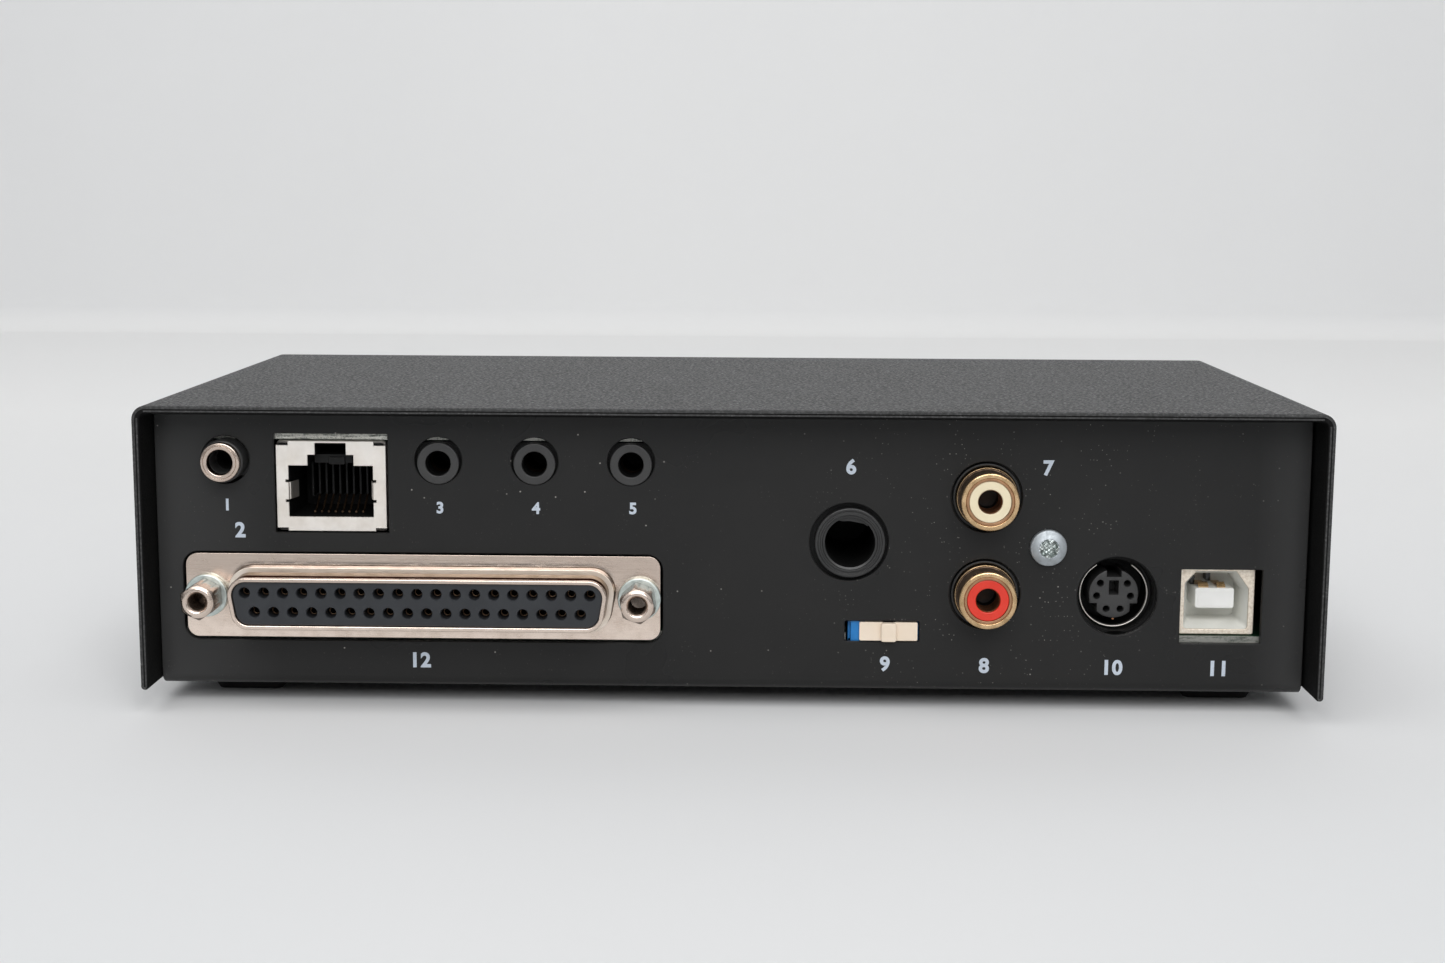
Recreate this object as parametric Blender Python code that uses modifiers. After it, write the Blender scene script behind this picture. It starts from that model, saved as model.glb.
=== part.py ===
"""Electronic Morse code keyer: a desktop box whose rear panel carries the connectors.

An inverted-U cover of sheet steel slides over a U-shaped chassis, whose ends are the rear
connector panel and the front control panel. Two circuit boards lie in the chassis, one above
the other. The main board carries the tall connectors and the upper board has the audio
connectors hanging from its underside. The lever of a small slide switch moves at the rear, and
a speed control turns at the front.

Metres, +Z up. The rear connector panel faces -Y, and +X is to the right as it is seen from
behind. The origin is at the bottom centre of the whole part.
"""
import math

import bmesh
import bpy
from mathutils import Matrix, Vector

# Clearances
SEAT = 0.0003               # between a piece and what it rests on or passes through
INSERT_GAP = 0.00015        # round an insulator in its metal shell
RUNNING_GAP = 0.0001        # round the shaft that turns in its bush
OVERRUN = 0.0015            # how far a cutter passes the face that it opens
MERGE_DISTANCE = 0.00001    # joins the points of a turned piece on its axis
WELD_DISTANCE = 0.000001    # joins the points of a flat outline's walls and faces

# Case
CHASSIS_SHEET = 0.0011
CHASSIS_BEND = 0.0016       # outer radius of the chassis's two bends
COVER_SHEET = 0.0011
COVER_BEND = 0.0020         # outer radius of the cover's two bends
COVER_FIT = 0.0004          # from the chassis to the cover's inner faces
COVER_LIFT = 0.00035        # the cover's lower edge above the chassis's underside
RIM_DEPTH = 0.0065          # how far the cover stands past each panel
BEND_SEGMENTS = 3
FLANGE_HEIGHT = 0.0070      # turned-up edges of the chassis floor
FLANGE_INSET = 0.0060       # from a panel to the end of a turned-up edge
CASE_SCREW_RISE = 0.0025    # from the floor to the axis of a cover screw
CASE_SCREW_INSET = 0.0160   # from a panel to a cover screw

# Rubber feet
FOOT_HEIGHT = 0.00345
FOOT_TOP_RADIUS = 0.0060
FOOT_BOTTOM_RADIUS = 0.00475
FOOT_INSET_X = 0.01035      # from the chassis's side to a foot's centre
FOOT_INSET_Y = 0.0140       # from a panel to a foot's centre

# Screws
SCREW_RADIUS = 0.0015
SCREW_HEAD_RADIUS = 0.00265
SCREW_HEAD_HEIGHT = 0.0016
SCREW_HEAD_TOP_SHARE = 0.72     # flat top of a pan head, as a share of its radius
SCREW_HEAD_EDGE_SHARE = 0.45    # straight edge of a pan head, as a share of its height
SCREW_LENGTH = 0.0050
COVER_SCREW_LENGTH = 0.0036
RECESS_SLOT = 0.0007            # width of each arm of the cross recess
RECESS_SPAN = 0.0026
RECESS_DEPTH = 0.0008

# Circuit boards
BOARD_SHEET = 0.0016
BOARD_SIDE_GAP = 0.0009     # from a board to the turned-up edges of the floor
BOARD_FRONT_GAP = 0.0010
STANDOFF_HEIGHT = 0.00515   # from the floor to the main board
PILLAR_FLATS = 0.0055       # across the flats of the standoffs and spacers
PILLAR_INSET_X = 0.0055     # from a board's side to a pillar
PILLAR_FRONT_INSET = 0.0085     # from a board's front edge to the front pillars
PILLAR_REAR_GAP = 0.0020    # from the deeper corner connector to the rear pillars
STUD_LENGTH = 0.0050        # a spacer's stud below its hexagon
TAPPED_DEPTH = 0.0070       # a spacer's tapped hole
HEADROOM = 0.0027           # from the upper board to the inside of the cover
STACK_GAP = 0.0031          # from the D connector's flange up to the network socket
PARTS_DEPTH = 0.0358        # board between the connectors and the speed control

# Rear D connector with 37 sockets, sized from its rows of sockets outwards
DSUB_MARGIN = 0.0039        # from the panel's side to the connector's flange
DSUB_FOOT_GAP = 0.0005      # from the main board up to the shell's rear part
DSUB_UPPER_SOCKETS = 19
DSUB_PITCH = 0.00277
DSUB_ROW_PITCH = 0.00284
DSUB_SOCKET_RADIUS = 0.0006
DSUB_SOCKET_DEPTH = 0.0040
DSUB_END_MARGIN = 0.00249   # from the outermost sockets to the shell's ends
DSUB_EDGE_MARGIN = 0.00253  # from a row of sockets to the shell's edge
DSUB_CORNER = 0.0026
DSUB_SLANT = math.radians(10)
DSUB_WALL = 0.0004
DSUB_LENGTH = 0.0058        # the shell in front of its flange
DSUB_STEP = 0.0008          # how far the shell's drawn base stands out round it
DSUB_STEP_LENGTH = 0.0014
DSUB_REAR_MARGIN = 0.00085  # the rear part of the shell beyond its front part
DSUB_REAR_DEPTH = 0.0060
DSUB_FACE_SET = 0.0001      # the insulator's face behind the shell's rim
DSUB_BLOCK_DEPTH = 0.0062   # the insulator's foot on the board
JACKSCREW_FLATS = 0.00475
JACKSCREW_LENGTH = 0.0051
JACKSCREW_TIP_INSET = 0.000075  # the round tip inside the flats
JACKSCREW_TIP_LENGTH = 0.0003
JACKSCREW_BORE_RADIUS = 0.0013
JACKSCREW_BORE_DEPTH = 0.0040
JACKSCREW_STUD_RADIUS = 0.0013
JACKSCREW_STUD_LENGTH = 0.0060
WASHER_EDGE = 0.000475      # the washer beyond the jackscrew's flats
WASHER_GAP = 0.00068        # from the washer to the shell's drawn base
WASHER_SHEET = 0.0005
DSUB_FLANGE_END = 0.00006   # the flange beyond its washers
DSUB_FLANGE_EDGE = 0.002325     # the flange above and below the shell
DSUB_FLANGE_SHEET = 0.0009
DSUB_FLANGE_CORNER = 0.0020
DSUB_CUT_GAP = 0.0005       # between the flange and the edge of its cut-out
WASHER_RADIUS = JACKSCREW_FLATS / 2 + WASHER_EDGE
JACKSCREW_TIP_RADIUS = JACKSCREW_FLATS / 2 - JACKSCREW_TIP_INSET
DSUB_WIDTH = (DSUB_UPPER_SOCKETS - 1) * DSUB_PITCH + 2 * DSUB_END_MARGIN
DSUB_HEIGHT = DSUB_ROW_PITCH + 2 * DSUB_EDGE_MARGIN
DSUB_REAR_WIDTH = DSUB_WIDTH + 2 * DSUB_REAR_MARGIN
DSUB_REAR_HEIGHT = DSUB_HEIGHT + 2 * DSUB_REAR_MARGIN
JACKSCREW_SPACING = DSUB_WIDTH + 2 * (DSUB_STEP + WASHER_GAP + WASHER_RADIUS)
DSUB_FLANGE_WIDTH = JACKSCREW_SPACING + 2 * (WASHER_RADIUS + DSUB_FLANGE_END)
DSUB_FLANGE_HEIGHT = DSUB_HEIGHT + 2 * DSUB_FLANGE_EDGE
DSUB_RISE = DSUB_REAR_HEIGHT / 2 + DSUB_FOOT_GAP

# External microphone jack, sized from its bore outwards
EXT_MIC_MARGIN = 0.0058     # from the panel's side to the jack's body
EXT_MIC_WIDTH = 0.0085
EXT_MIC_BORE_RADIUS = 0.00175
EXT_MIC_SPIGOT_WALL = 0.00055       # the ring's tail inside the nose
EXT_MIC_SPIGOT_LENGTH = 0.0020
EXT_MIC_NECK_WALL = 0.00065     # between the body and the nose, clear of the board
EXT_MIC_BODY_WALL = 0.00105     # the body above and below its bore
EXT_MIC_NOSE_WALL = 0.00080     # round the ring's tail
EXT_MIC_NOSE_PROUD = 0.0022
EXT_MIC_HOLE_GAP = 0.0004       # from the nose to the edge of its hole
EXT_MIC_RING_INSET = 0.00023    # the ring inside the nose's outer edge
EXT_MIC_RING_LENGTH = 0.0010
EXT_MIC_BORE_DEPTH = 0.0120
EXT_MIC_BACK_WALL = 0.0036
EXT_MIC_SPIGOT_RADIUS = EXT_MIC_BORE_RADIUS + EXT_MIC_SPIGOT_WALL
EXT_MIC_NECK_RADIUS = EXT_MIC_BORE_RADIUS + EXT_MIC_NECK_WALL
EXT_MIC_HEIGHT = 2 * (EXT_MIC_BORE_RADIUS + EXT_MIC_BODY_WALL)
EXT_MIC_NOSE_RADIUS = EXT_MIC_SPIGOT_RADIUS + EXT_MIC_NOSE_WALL
EXT_MIC_HOLE_RADIUS = EXT_MIC_NOSE_RADIUS + EXT_MIC_HOLE_GAP
EXT_MIC_RING_RADIUS = EXT_MIC_NOSE_RADIUS - EXT_MIC_RING_INSET
EXT_MIC_DEPTH = EXT_MIC_BORE_DEPTH + EXT_MIC_BACK_WALL - EXT_MIC_NOSE_PROUD - CHASSIS_SHEET - SEAT

# Eight-way modular microphone socket, sized from its opening outwards
RJ_GAP = 0.0029             # from the external microphone jack
RJ_SHEET = 0.0003
RJ_SET = 0.0004             # its face behind the panel's outer face
RJ_SIDE_GAP = 0.0002        # to the sides and lower edge of its cut-out
RJ_TOP_GAP = 0.0013         # to the upper edge of its cut-out
RJ_FLOOR = 0.0023           # from its underside to the plug's cavity
RJ_CHEEK = 0.002025         # beside the plug's cavity
RJ_ROOF = 0.00039           # above the latch notch
RJ_BACK = 0.0030            # behind the plug's cavity
RJ_LATCH_WIDTH = 0.0045
RJ_LATCH_HEIGHT = 0.00165
RJ_LATCH_SHOULDER = 0.00105     # from the latch notch out to the step below it
RJ_STEP_HEIGHT = 0.0016
RJ_STEP_SHOULDER = 0.00277      # from the step out to the cavity's sides
RJ_CAVITY_HEIGHT = 0.0073
RJ_CAVITY_DEPTH = 0.0125
RJ_STEP_WIDTH = RJ_LATCH_WIDTH + 2 * RJ_LATCH_SHOULDER
RJ_CAVITY_WIDTH = RJ_STEP_WIDTH + 2 * RJ_STEP_SHOULDER
RJ_WIDTH = RJ_CAVITY_WIDTH + 2 * RJ_CHEEK
RJ_HEIGHT = RJ_FLOOR + RJ_CAVITY_HEIGHT + RJ_STEP_HEIGHT + RJ_LATCH_HEIGHT + RJ_ROOF
RJ_DEPTH = RJ_CAVITY_DEPTH + RJ_BACK

# Row of 3.5 mm audio jacks, sized from their bores outwards
JACK_NAMES = ("line_output_jack", "line_input_jack", "microphone_jack")
JACK_ROW_GAP = 0.0022       # from the modular socket
JACK_GAP = 0.0030           # between two jacks
JACK_BORE_RADIUS = 0.0018
JACK_BORE_DEPTH = 0.0130
JACK_NOSE_WALL = 0.00125
JACK_NOSE_PROUD = 0.0003
JACK_CHEEK = 0.00245        # the body beside its nose
JACK_EDGE = 0.00005         # the body above and below its nose
JACK_BACK_WALL = 0.0007
JACK_HOLE_LIFT = 0.0004     # the panel's holes above the jacks' axes
JACK_HOLE_GAP = 0.00005     # from the nose's underside to the edge of its hole
JACK_NOSE_RADIUS = JACK_BORE_RADIUS + JACK_NOSE_WALL
JACK_WIDTH = 2 * (JACK_NOSE_RADIUS + JACK_CHEEK)
JACK_HEIGHT = 2 * (JACK_NOSE_RADIUS + JACK_EDGE)
JACK_DEPTH = JACK_BORE_DEPTH + JACK_BACK_WALL - JACK_NOSE_PROUD - CHASSIS_SHEET - SEAT
JACK_HOLE_RADIUS = JACK_NOSE_RADIUS + JACK_HOLE_LIFT + JACK_HOLE_GAP

# 6.35 mm paddle jack, sized from its bore outwards
PADDLE_GAP = 0.0184         # from the last audio jack
PADDLE_DROP = 0.0145        # its axis below the upper board
PADDLE_BORE_RADIUS = 0.00345
PADDLE_BORE_DEPTH = 0.0220
PADDLE_LIP_WALL = 0.00155
PADDLE_LIP_SET = 0.0001
PADDLE_NOSE_STEP = 0.0004   # from the lip out to the nose
PADDLE_NOSE_SET = 0.0007
PADDLE_HOLE_GAP = 0.00035   # from the nose to the edge of its hole
PADDLE_CHEEK = 0.0024       # the body beside its nose
PADDLE_SOLE = 0.0026        # the body below its nose
PADDLE_BACK_WALL = 0.0020
PADDLE_LIP_RADIUS = PADDLE_BORE_RADIUS + PADDLE_LIP_WALL
PADDLE_NOSE_RADIUS = PADDLE_LIP_RADIUS + PADDLE_NOSE_STEP
PADDLE_HOLE_RADIUS = PADDLE_NOSE_RADIUS + PADDLE_HOLE_GAP
PADDLE_WIDTH = 2 * (PADDLE_NOSE_RADIUS + PADDLE_CHEEK)
PADDLE_FLOOR = PADDLE_NOSE_RADIUS + PADDLE_SOLE
PADDLE_DEPTH = PADDLE_BORE_DEPTH + PADDLE_BACK_WALL

# Slide switch
SWITCH_GAP = 0.0276         # from the D connector's flange
SWITCH_CHEEK = 0.00245      # the body beside its groove
SWITCH_HEIGHT = 0.0044
SWITCH_DEPTH = 0.0040
SWITCH_RISE = 0.0005        # its axis above the main board
SWITCH_LEDGE_DEPTH = 0.0030     # the tail that lies on the board
SWITCH_TRAVEL = 0.0019
SLIDER_WIDTH = 0.0085
SLIDER_HEIGHT = 0.00276
SLIDER_PROUD = 0.0001
SLIDER_NUB_WIDTH = 0.0022
SLIDER_NUB_PROUD = 0.0009
SLIDER_STEM_WIDTH = 0.0030
SLIDER_STEM_HEIGHT = 0.0014
SLIDER_STEM_LENGTH = 0.0018
SLIDER_END_GAP = 0.00025    # to each end of the panel's slot
SLIDER_EDGE_GAP = 0.00014   # to the slot's upper and lower edges
SWITCH_GROOVE = SLIDER_STEM_WIDTH + SWITCH_TRAVEL + 2 * SEAT
SWITCH_WIDTH = SWITCH_GROOVE + 2 * SWITCH_CHEEK

# Stacked phono sockets, sized from their shells outwards
RCA_GAP = 0.0029            # from the switch or the paddle jack
RCA_SHELL_RADIUS = 0.00415
RCA_SHELL_WALL = 0.0006
RCA_BASE_STEP = 0.00025     # the shell's foot outside its barrel
RCA_BASE_LENGTH = 0.0012
RCA_LIP_ROUND = 0.0004
RCA_PROUD = 0.0043
RCA_SHELL_TAIL = 0.0060     # the shell inside the housing
RCA_BOSS_WALL = 0.0005
RCA_BOSS_SET = 0.0001
RCA_HOLE_GAP = 0.00025      # from a boss to the edge of its hole
RCA_CORE_STEP = 0.00055     # from the shell's inside to the insulator's raised face
RCA_CORE_SET = 0.0003
RCA_BORE_RADIUS = 0.0017
RCA_BACK_WALL = 0.0010      # the insulator behind its bore
RCA_CHEEK = 0.0016          # the housing beside its bosses
RCA_SOLE = 0.0013           # the housing below the lower boss
RCA_CROWN = 0.0014          # the housing above the upper boss
RCA_HOLE_SPACE = 0.0040     # panel between the two holes
RCA_DEPTH = 0.0130
RCA_SCREW_SPACE = 0.0010    # panel between the holes' edges and the screw's head
RCA_EAR_RADIUS = 0.0029
RCA_EAR_DEPTH = 0.0060
RCA_BASE_RADIUS = RCA_SHELL_RADIUS + RCA_BASE_STEP
RCA_BOSS_RADIUS = RCA_BASE_RADIUS + RCA_BOSS_WALL
RCA_HOLE_RADIUS = RCA_BOSS_RADIUS + RCA_HOLE_GAP
RCA_CORE_RADIUS = RCA_SHELL_RADIUS - RCA_SHELL_WALL - RCA_CORE_STEP
RCA_BORE_DEPTH = RCA_PROUD - RCA_CORE_SET + RCA_SHELL_TAIL - RCA_BACK_WALL
RCA_WIDTH = 2 * (RCA_BOSS_RADIUS + RCA_CHEEK)
RCA_RISE = RCA_BOSS_RADIUS + RCA_SOLE
RCA_HEAD = RCA_BOSS_RADIUS + RCA_CROWN
RCA_PITCH = 2 * RCA_HOLE_RADIUS + RCA_HOLE_SPACE
RCA_SCREW_OFFSET = RCA_HOLE_RADIUS + RCA_SCREW_SPACE + SCREW_HEAD_RADIUS

# Six-way round remote socket, sized from its metal ring inwards and outwards
DIN_GAP = 0.0005            # from the phono sockets' ear
DIN_DEPTH = 0.0125
DIN_RING_RADIUS = 0.00515
DIN_RING_WALL = 0.0003
DIN_RING_SET = 0.0017       # the ring's edge behind the panel's outer face
DIN_RING_OPENING = math.radians(56)
DIN_HOLE_GAP = 0.00065      # from the ring out to the edge of the panel's hole
DIN_WELL_GAP = 0.00035      # from the ring out to the side of its well
DIN_WELL_DEPTH = 0.0070
DIN_CHEEK = 0.0013          # the body beside its well
DIN_EDGE = 0.0008           # the body above and below its well
DIN_CORE_GAP = 0.00125      # from the ring in to the core
DIN_CORE_SET = 0.0026
DIN_KEY_WIDTH = 0.0014
DIN_KEY_HEIGHT = 0.0021
DIN_KEY_LIFT = 0.0009       # the key slot above the axis
DIN_PIN_RADIUS = 0.0005
DIN_PIN_DEPTH = 0.0040
DIN_PIN_INSET = 0.0011      # from the core's edge to the circle of pins
DIN_PIN_ANGLES = (math.radians(-66), math.radians(-114), math.radians(-8), math.radians(188),
                  math.radians(38), math.radians(142))
DIN_HOLE_RADIUS = DIN_RING_RADIUS + DIN_HOLE_GAP
DIN_WELL_RADIUS = DIN_RING_RADIUS + DIN_WELL_GAP
DIN_CORE_RADIUS = DIN_RING_RADIUS - DIN_RING_WALL - DIN_CORE_GAP
DIN_PIN_CIRCLE = DIN_CORE_RADIUS - DIN_PIN_INSET
DIN_WIDTH = 2 * (DIN_WELL_RADIUS + DIN_CHEEK)
DIN_RISE = DIN_WELL_RADIUS + DIN_EDGE

# Square USB socket
USB_GAP = 0.00275           # from the remote socket
USB_WIDTH = 0.01105
USB_HEIGHT = 0.00965
USB_SET = 0.0020            # its mouth behind the panel's outer face
USB_LIP = 0.0009            # its side walls with their folded edges
USB_MOUTH_DEPTH = 0.0105
USB_BACK = 0.0055           # the shell behind its mouth
USB_CHAMFER = 0.0016
USB_TONGUE_WIDTH = 0.0058
USB_TONGUE_HEIGHT = 0.0032
USB_TONGUE_LIFT = 0.0004
USB_TONGUE_SET = 0.0010
USB_BASE_SHEET = 0.0012     # the plastic floor behind the tongue
USB_HOLE_LEFT_GAP = 0.0001
USB_HOLE_RIGHT_GAP = 0.0010
USB_HOLE_TOP_GAP = 0.0002
USB_HOLE_BOTTOM_GAP = 0.0011
USB_MARGIN = 0.0069         # to the panel's other side
USB_DEPTH = USB_MOUTH_DEPTH + USB_BACK
USB_RISE = USB_HEIGHT / 2 + SEAT

# Speed control and lamps on the front panel
POT_INSET = 0.0285          # its axis from the panel's side
POT_RISE = 0.0125           # its axis above the main board
POT_CHEEK = 0.0014          # the body beside its bush
POT_CROWN = 0.0017          # the body above its bush
POT_DEPTH = 0.0080
SHAFT_RADIUS = 0.0030
SHAFT_TAIL = 0.0050         # the shaft inside the body
SHAFT_FLAT = 0.0015         # depth of the flat on the shaft's end
SHAFT_FLAT_LENGTH = 0.0070
BUSH_WALL = 0.0005
BUSH_LENGTH = 0.0060
NUT_WALL = 0.0015           # from the bush to the nut's flats
NUT_SHEET = 0.0020
KNOB_SKIRT = 0.0040         # the knob's foot beyond the bush
KNOB_TAPER = 0.0009         # how much narrower the knob is at its face
KNOB_LENGTH = 0.0120
KNOB_WALL = 0.0016          # in front of the shaft's end
KNOB_ROUND = 0.0007
KNOB_MARK_WIDTH = 0.0009
KNOB_MARK_DEPTH = 0.0005
KNOB_MARK_LENGTH = 0.0050
KNOB_FLUTES = 12
KNOB_FLUTE_RADIUS = 0.0006
KNOB_FLUTE_START = 0.0022   # plain skirt at the knob's foot
LAMP_COUNT = 3
LAMP_PITCH = 0.0120
LAMP_INSET = 0.0300         # the first lamp from the panel's other side
LAMP_RADIUS = 0.0015
LAMP_FLANGE = 0.0004        # the flange beyond the lamp's body
LAMP_FLANGE_LENGTH = 0.0010
LAMP_PROUD = 0.0012
LAMP_TAIL = 0.0030          # the lamp behind the panel
BUSH_RADIUS = SHAFT_RADIUS + BUSH_WALL
POT_WIDTH = 2 * (BUSH_RADIUS + POT_CHEEK)
POT_HEAD = BUSH_RADIUS + POT_CROWN
NUT_FLATS = 2 * (BUSH_RADIUS + NUT_WALL)
KNOB_RADIUS = BUSH_RADIUS + KNOB_SKIRT
KNOB_TOP_RADIUS = KNOB_RADIUS - KNOB_TAPER
KNOB_START = NUT_SHEET + 2 * SEAT       # the knob's foot in front of the front panel
SHAFT_LENGTH = KNOB_START + KNOB_LENGTH - KNOB_WALL     # in front of the panel
LAMP_FLANGE_RADIUS = LAMP_RADIUS + LAMP_FLANGE

# Pieces on the main board
CHIP_SIDE = 0.0140
CHIP_HEIGHT = 0.0014
RELAY_LENGTH = 0.0193
RELAY_WIDTH = 0.0070
RELAY_HEIGHT = 0.0066
LINK_LENGTH = 0.0260
LINK_WIDTH = 0.0050
BOARD_PART_GAP = 0.0060     # between the pieces on the main board

# Facets
ROUND_SIDES = 24
SMALL_SIDES = 12
SOCKET_SIDES = 6
CORNER_STEPS = 3
SHARP_ANGLE = math.radians(35)

# Heights, from the surface that the feet stand on
FLOOR_TOP = FOOT_HEIGHT + CHASSIS_SHEET
MAIN_UNDERSIDE = FLOOR_TOP + STANDOFF_HEIGHT
MAIN_TOP = MAIN_UNDERSIDE + BOARD_SHEET
UPPER_UNDERSIDE = (MAIN_TOP + DSUB_RISE + DSUB_FLANGE_HEIGHT / 2 + STACK_GAP + RJ_HEIGHT + SEAT)
UPPER_TOP = UPPER_UNDERSIDE + BOARD_SHEET
COVER_CEILING = UPPER_TOP + HEADROOM
OVERALL_HEIGHT = COVER_CEILING + COVER_SHEET
PANEL_TOP = COVER_CEILING - COVER_FIT
DSUB_Z = MAIN_TOP + DSUB_RISE
RJ_Z = UPPER_UNDERSIDE - SEAT - RJ_HEIGHT / 2
EXT_MIC_Z = UPPER_UNDERSIDE - SEAT - EXT_MIC_HEIGHT / 2
JACK_Z = UPPER_UNDERSIDE - SEAT - JACK_HEIGHT / 2
PADDLE_Z = UPPER_UNDERSIDE - PADDLE_DROP
SWITCH_Z = MAIN_TOP + SWITCH_RISE
RCA_LOWER_Z = MAIN_TOP + RCA_RISE
RCA_UPPER_Z = RCA_LOWER_Z + RCA_PITCH
DIN_Z = MAIN_TOP + DIN_RISE
USB_Z = MAIN_TOP + USB_RISE
POT_Z = MAIN_TOP + POT_RISE
CASE_SCREW_Z = FLOOR_TOP + CASE_SCREW_RISE

# Widths along the panel: the two rows side by side, then the tall connectors that end both
DSUB_END = DSUB_MARGIN + DSUB_FLANGE_WIDTH
SWITCH_START = DSUB_END + SWITCH_GAP
RJ_START = EXT_MIC_MARGIN + EXT_MIC_WIDTH + RJ_GAP
JACK_START = RJ_START + RJ_WIDTH + JACK_ROW_GAP
JACK_PITCH = JACK_WIDTH + JACK_GAP
PADDLE_START = JACK_START + len(JACK_NAMES) * JACK_PITCH - JACK_GAP + PADDLE_GAP
RCA_START = max(SWITCH_START + SWITCH_WIDTH, PADDLE_START + PADDLE_WIDTH) + RCA_GAP
RCA_SCREW_START = RCA_START + RCA_WIDTH / 2 + RCA_SCREW_OFFSET
DIN_START = RCA_SCREW_START + RCA_EAR_RADIUS + DIN_GAP
USB_START = DIN_START + DIN_WIDTH + USB_GAP
PANEL_WIDTH = USB_START + USB_WIDTH + USB_MARGIN
COVER_WIDTH = PANEL_WIDTH + 2 * (COVER_FIT + COVER_SHEET)
BOARD_WIDTH = PANEL_WIDTH - 2 * (CHASSIS_SHEET + BOARD_SIDE_GAP)
PANEL_LEFT = -PANEL_WIDTH / 2
DSUB_X = PANEL_LEFT + DSUB_MARGIN + DSUB_FLANGE_WIDTH / 2
EXT_MIC_X = PANEL_LEFT + EXT_MIC_MARGIN + EXT_MIC_WIDTH / 2
RJ_X = PANEL_LEFT + RJ_START + RJ_WIDTH / 2
JACK_X = PANEL_LEFT + JACK_START + JACK_WIDTH / 2
PADDLE_X = PANEL_LEFT + PADDLE_START + PADDLE_WIDTH / 2
SWITCH_X = PANEL_LEFT + SWITCH_START + SWITCH_WIDTH / 2
RCA_X = PANEL_LEFT + RCA_START + RCA_WIDTH / 2
RCA_SCREW_X = PANEL_LEFT + RCA_SCREW_START
DIN_X = PANEL_LEFT + DIN_START + DIN_WIDTH / 2
USB_X = PANEL_LEFT + USB_START + USB_WIDTH / 2
POT_X = -PANEL_LEFT - POT_INSET

# Depths, from the rear panel's outer face
BODY_SET = CHASSIS_SHEET + SEAT         # the faces of the bodies and boards behind a panel
CONNECTOR_DEPTH = max(PADDLE_DEPTH, RJ_DEPTH, USB_DEPTH, RCA_DEPTH, DIN_DEPTH, JACK_DEPTH)
BOARD_DEPTH = CONNECTOR_DEPTH + PARTS_DEPTH + POT_DEPTH + BOARD_FRONT_GAP
BASE_LENGTH = BODY_SET + BOARD_DEPTH + BOARD_FRONT_GAP + CHASSIS_SHEET
COVER_LENGTH = BASE_LENGTH + 2 * RIM_DEPTH
OVERALL_DEPTH = COVER_LENGTH + KNOB_START + KNOB_LENGTH - RIM_DEPTH
REAR_Y = RIM_DEPTH - OVERALL_DEPTH / 2
FRONT_Y = REAR_Y + BASE_LENGTH
BOARD_REAR_Y = REAR_Y + BODY_SET
BOARD_FRONT_Y = BOARD_REAR_Y + BOARD_DEPTH
PILLAR_X = BOARD_WIDTH / 2 - PILLAR_INSET_X
CORNER_DEPTH = max(USB_SET + USB_DEPTH, BODY_SET + EXT_MIC_DEPTH)
PILLAR_REAR_Y = REAR_Y + CORNER_DEPTH + PILLAR_REAR_GAP + PILLAR_FLATS / 2
PILLAR_FRONT_Y = BOARD_FRONT_Y - PILLAR_FRONT_INSET
PARTS_Y = BOARD_REAR_Y + CONNECTOR_DEPTH + PARTS_DEPTH / 2

# Directions
REARWARD = (math.pi / 2, 0, 0)          # turns local +Z to world -Y
FORWARD = (-math.pi / 2, 0, 0)          # turns local +Z to world +Y
UPRIGHT = (0, 0, 0)
RIGHTWARD = (0, math.pi / 2, 0)         # turns local +Z to world +X
LEFTWARD = (0, -math.pi / 2, 0)

# Colour, roughness and metallic value of each finish
FINISHES = {
    "powder_coated_cover": ((0.045, 0.046, 0.047), 0.62, 0.0),
    "painted_chassis": ((0.020, 0.020, 0.021), 0.42, 0.0),
    "foot_rubber": ((0.012, 0.012, 0.012), 0.80, 0.0),
    "zinc_steel": ((0.62, 0.63, 0.62), 0.30, 1.0),
    "blued_zinc": ((0.55, 0.63, 0.60), 0.38, 1.0),
    "nickel": ((0.66, 0.62, 0.57), 0.32, 1.0),
    "gold_plate": ((0.72, 0.52, 0.26), 0.26, 1.0),
    "black_plastic": ((0.014, 0.014, 0.015), 0.38, 0.0),
    "dark_insulator": ((0.040, 0.044, 0.050), 0.50, 0.0),
    "white_plastic": ((0.78, 0.74, 0.62), 0.40, 0.0),
    "red_plastic": ((0.62, 0.035, 0.025), 0.38, 0.0),
    "blue_plastic": ((0.010, 0.130, 0.420), 0.42, 0.0),
    "cream_plastic": ((0.72, 0.62, 0.50), 0.45, 0.0),
    "board_green": ((0.030, 0.120, 0.060), 0.45, 0.0),
    "chip_epoxy": ((0.018, 0.018, 0.019), 0.55, 0.0),
    "lamp_green": ((0.060, 0.420, 0.090), 0.20, 0.0),
}


def clear_scene():
    """Removes whatever the scene holds."""
    for item in list(bpy.data.objects):
        bpy.data.objects.remove(item, do_unlink=True)


def add_collection(name):
    collection = bpy.data.collections.new(name)
    bpy.context.scene.collection.children.link(collection)
    return collection


def finish(name):
    """The Principled material of this name, made when it is first asked for."""
    found = bpy.data.materials.get(name)
    if found:
        return found
    colour, roughness, metallic = FINISHES[name]
    made = bpy.data.materials.new(name)
    made.use_nodes = True
    shader = made.node_tree.nodes["Principled BSDF"]
    shader.inputs["Base Color"].default_value = (*colour, 1)
    shader.inputs["Roughness"].default_value = roughness
    shader.inputs["Metallic"].default_value = metallic
    made.diffuse_color = (*colour, 1)
    return made


clear_scene()
PARTS = add_collection("morse_code_keyer")
GUIDES = add_collection("cutters_and_guides")


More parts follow.
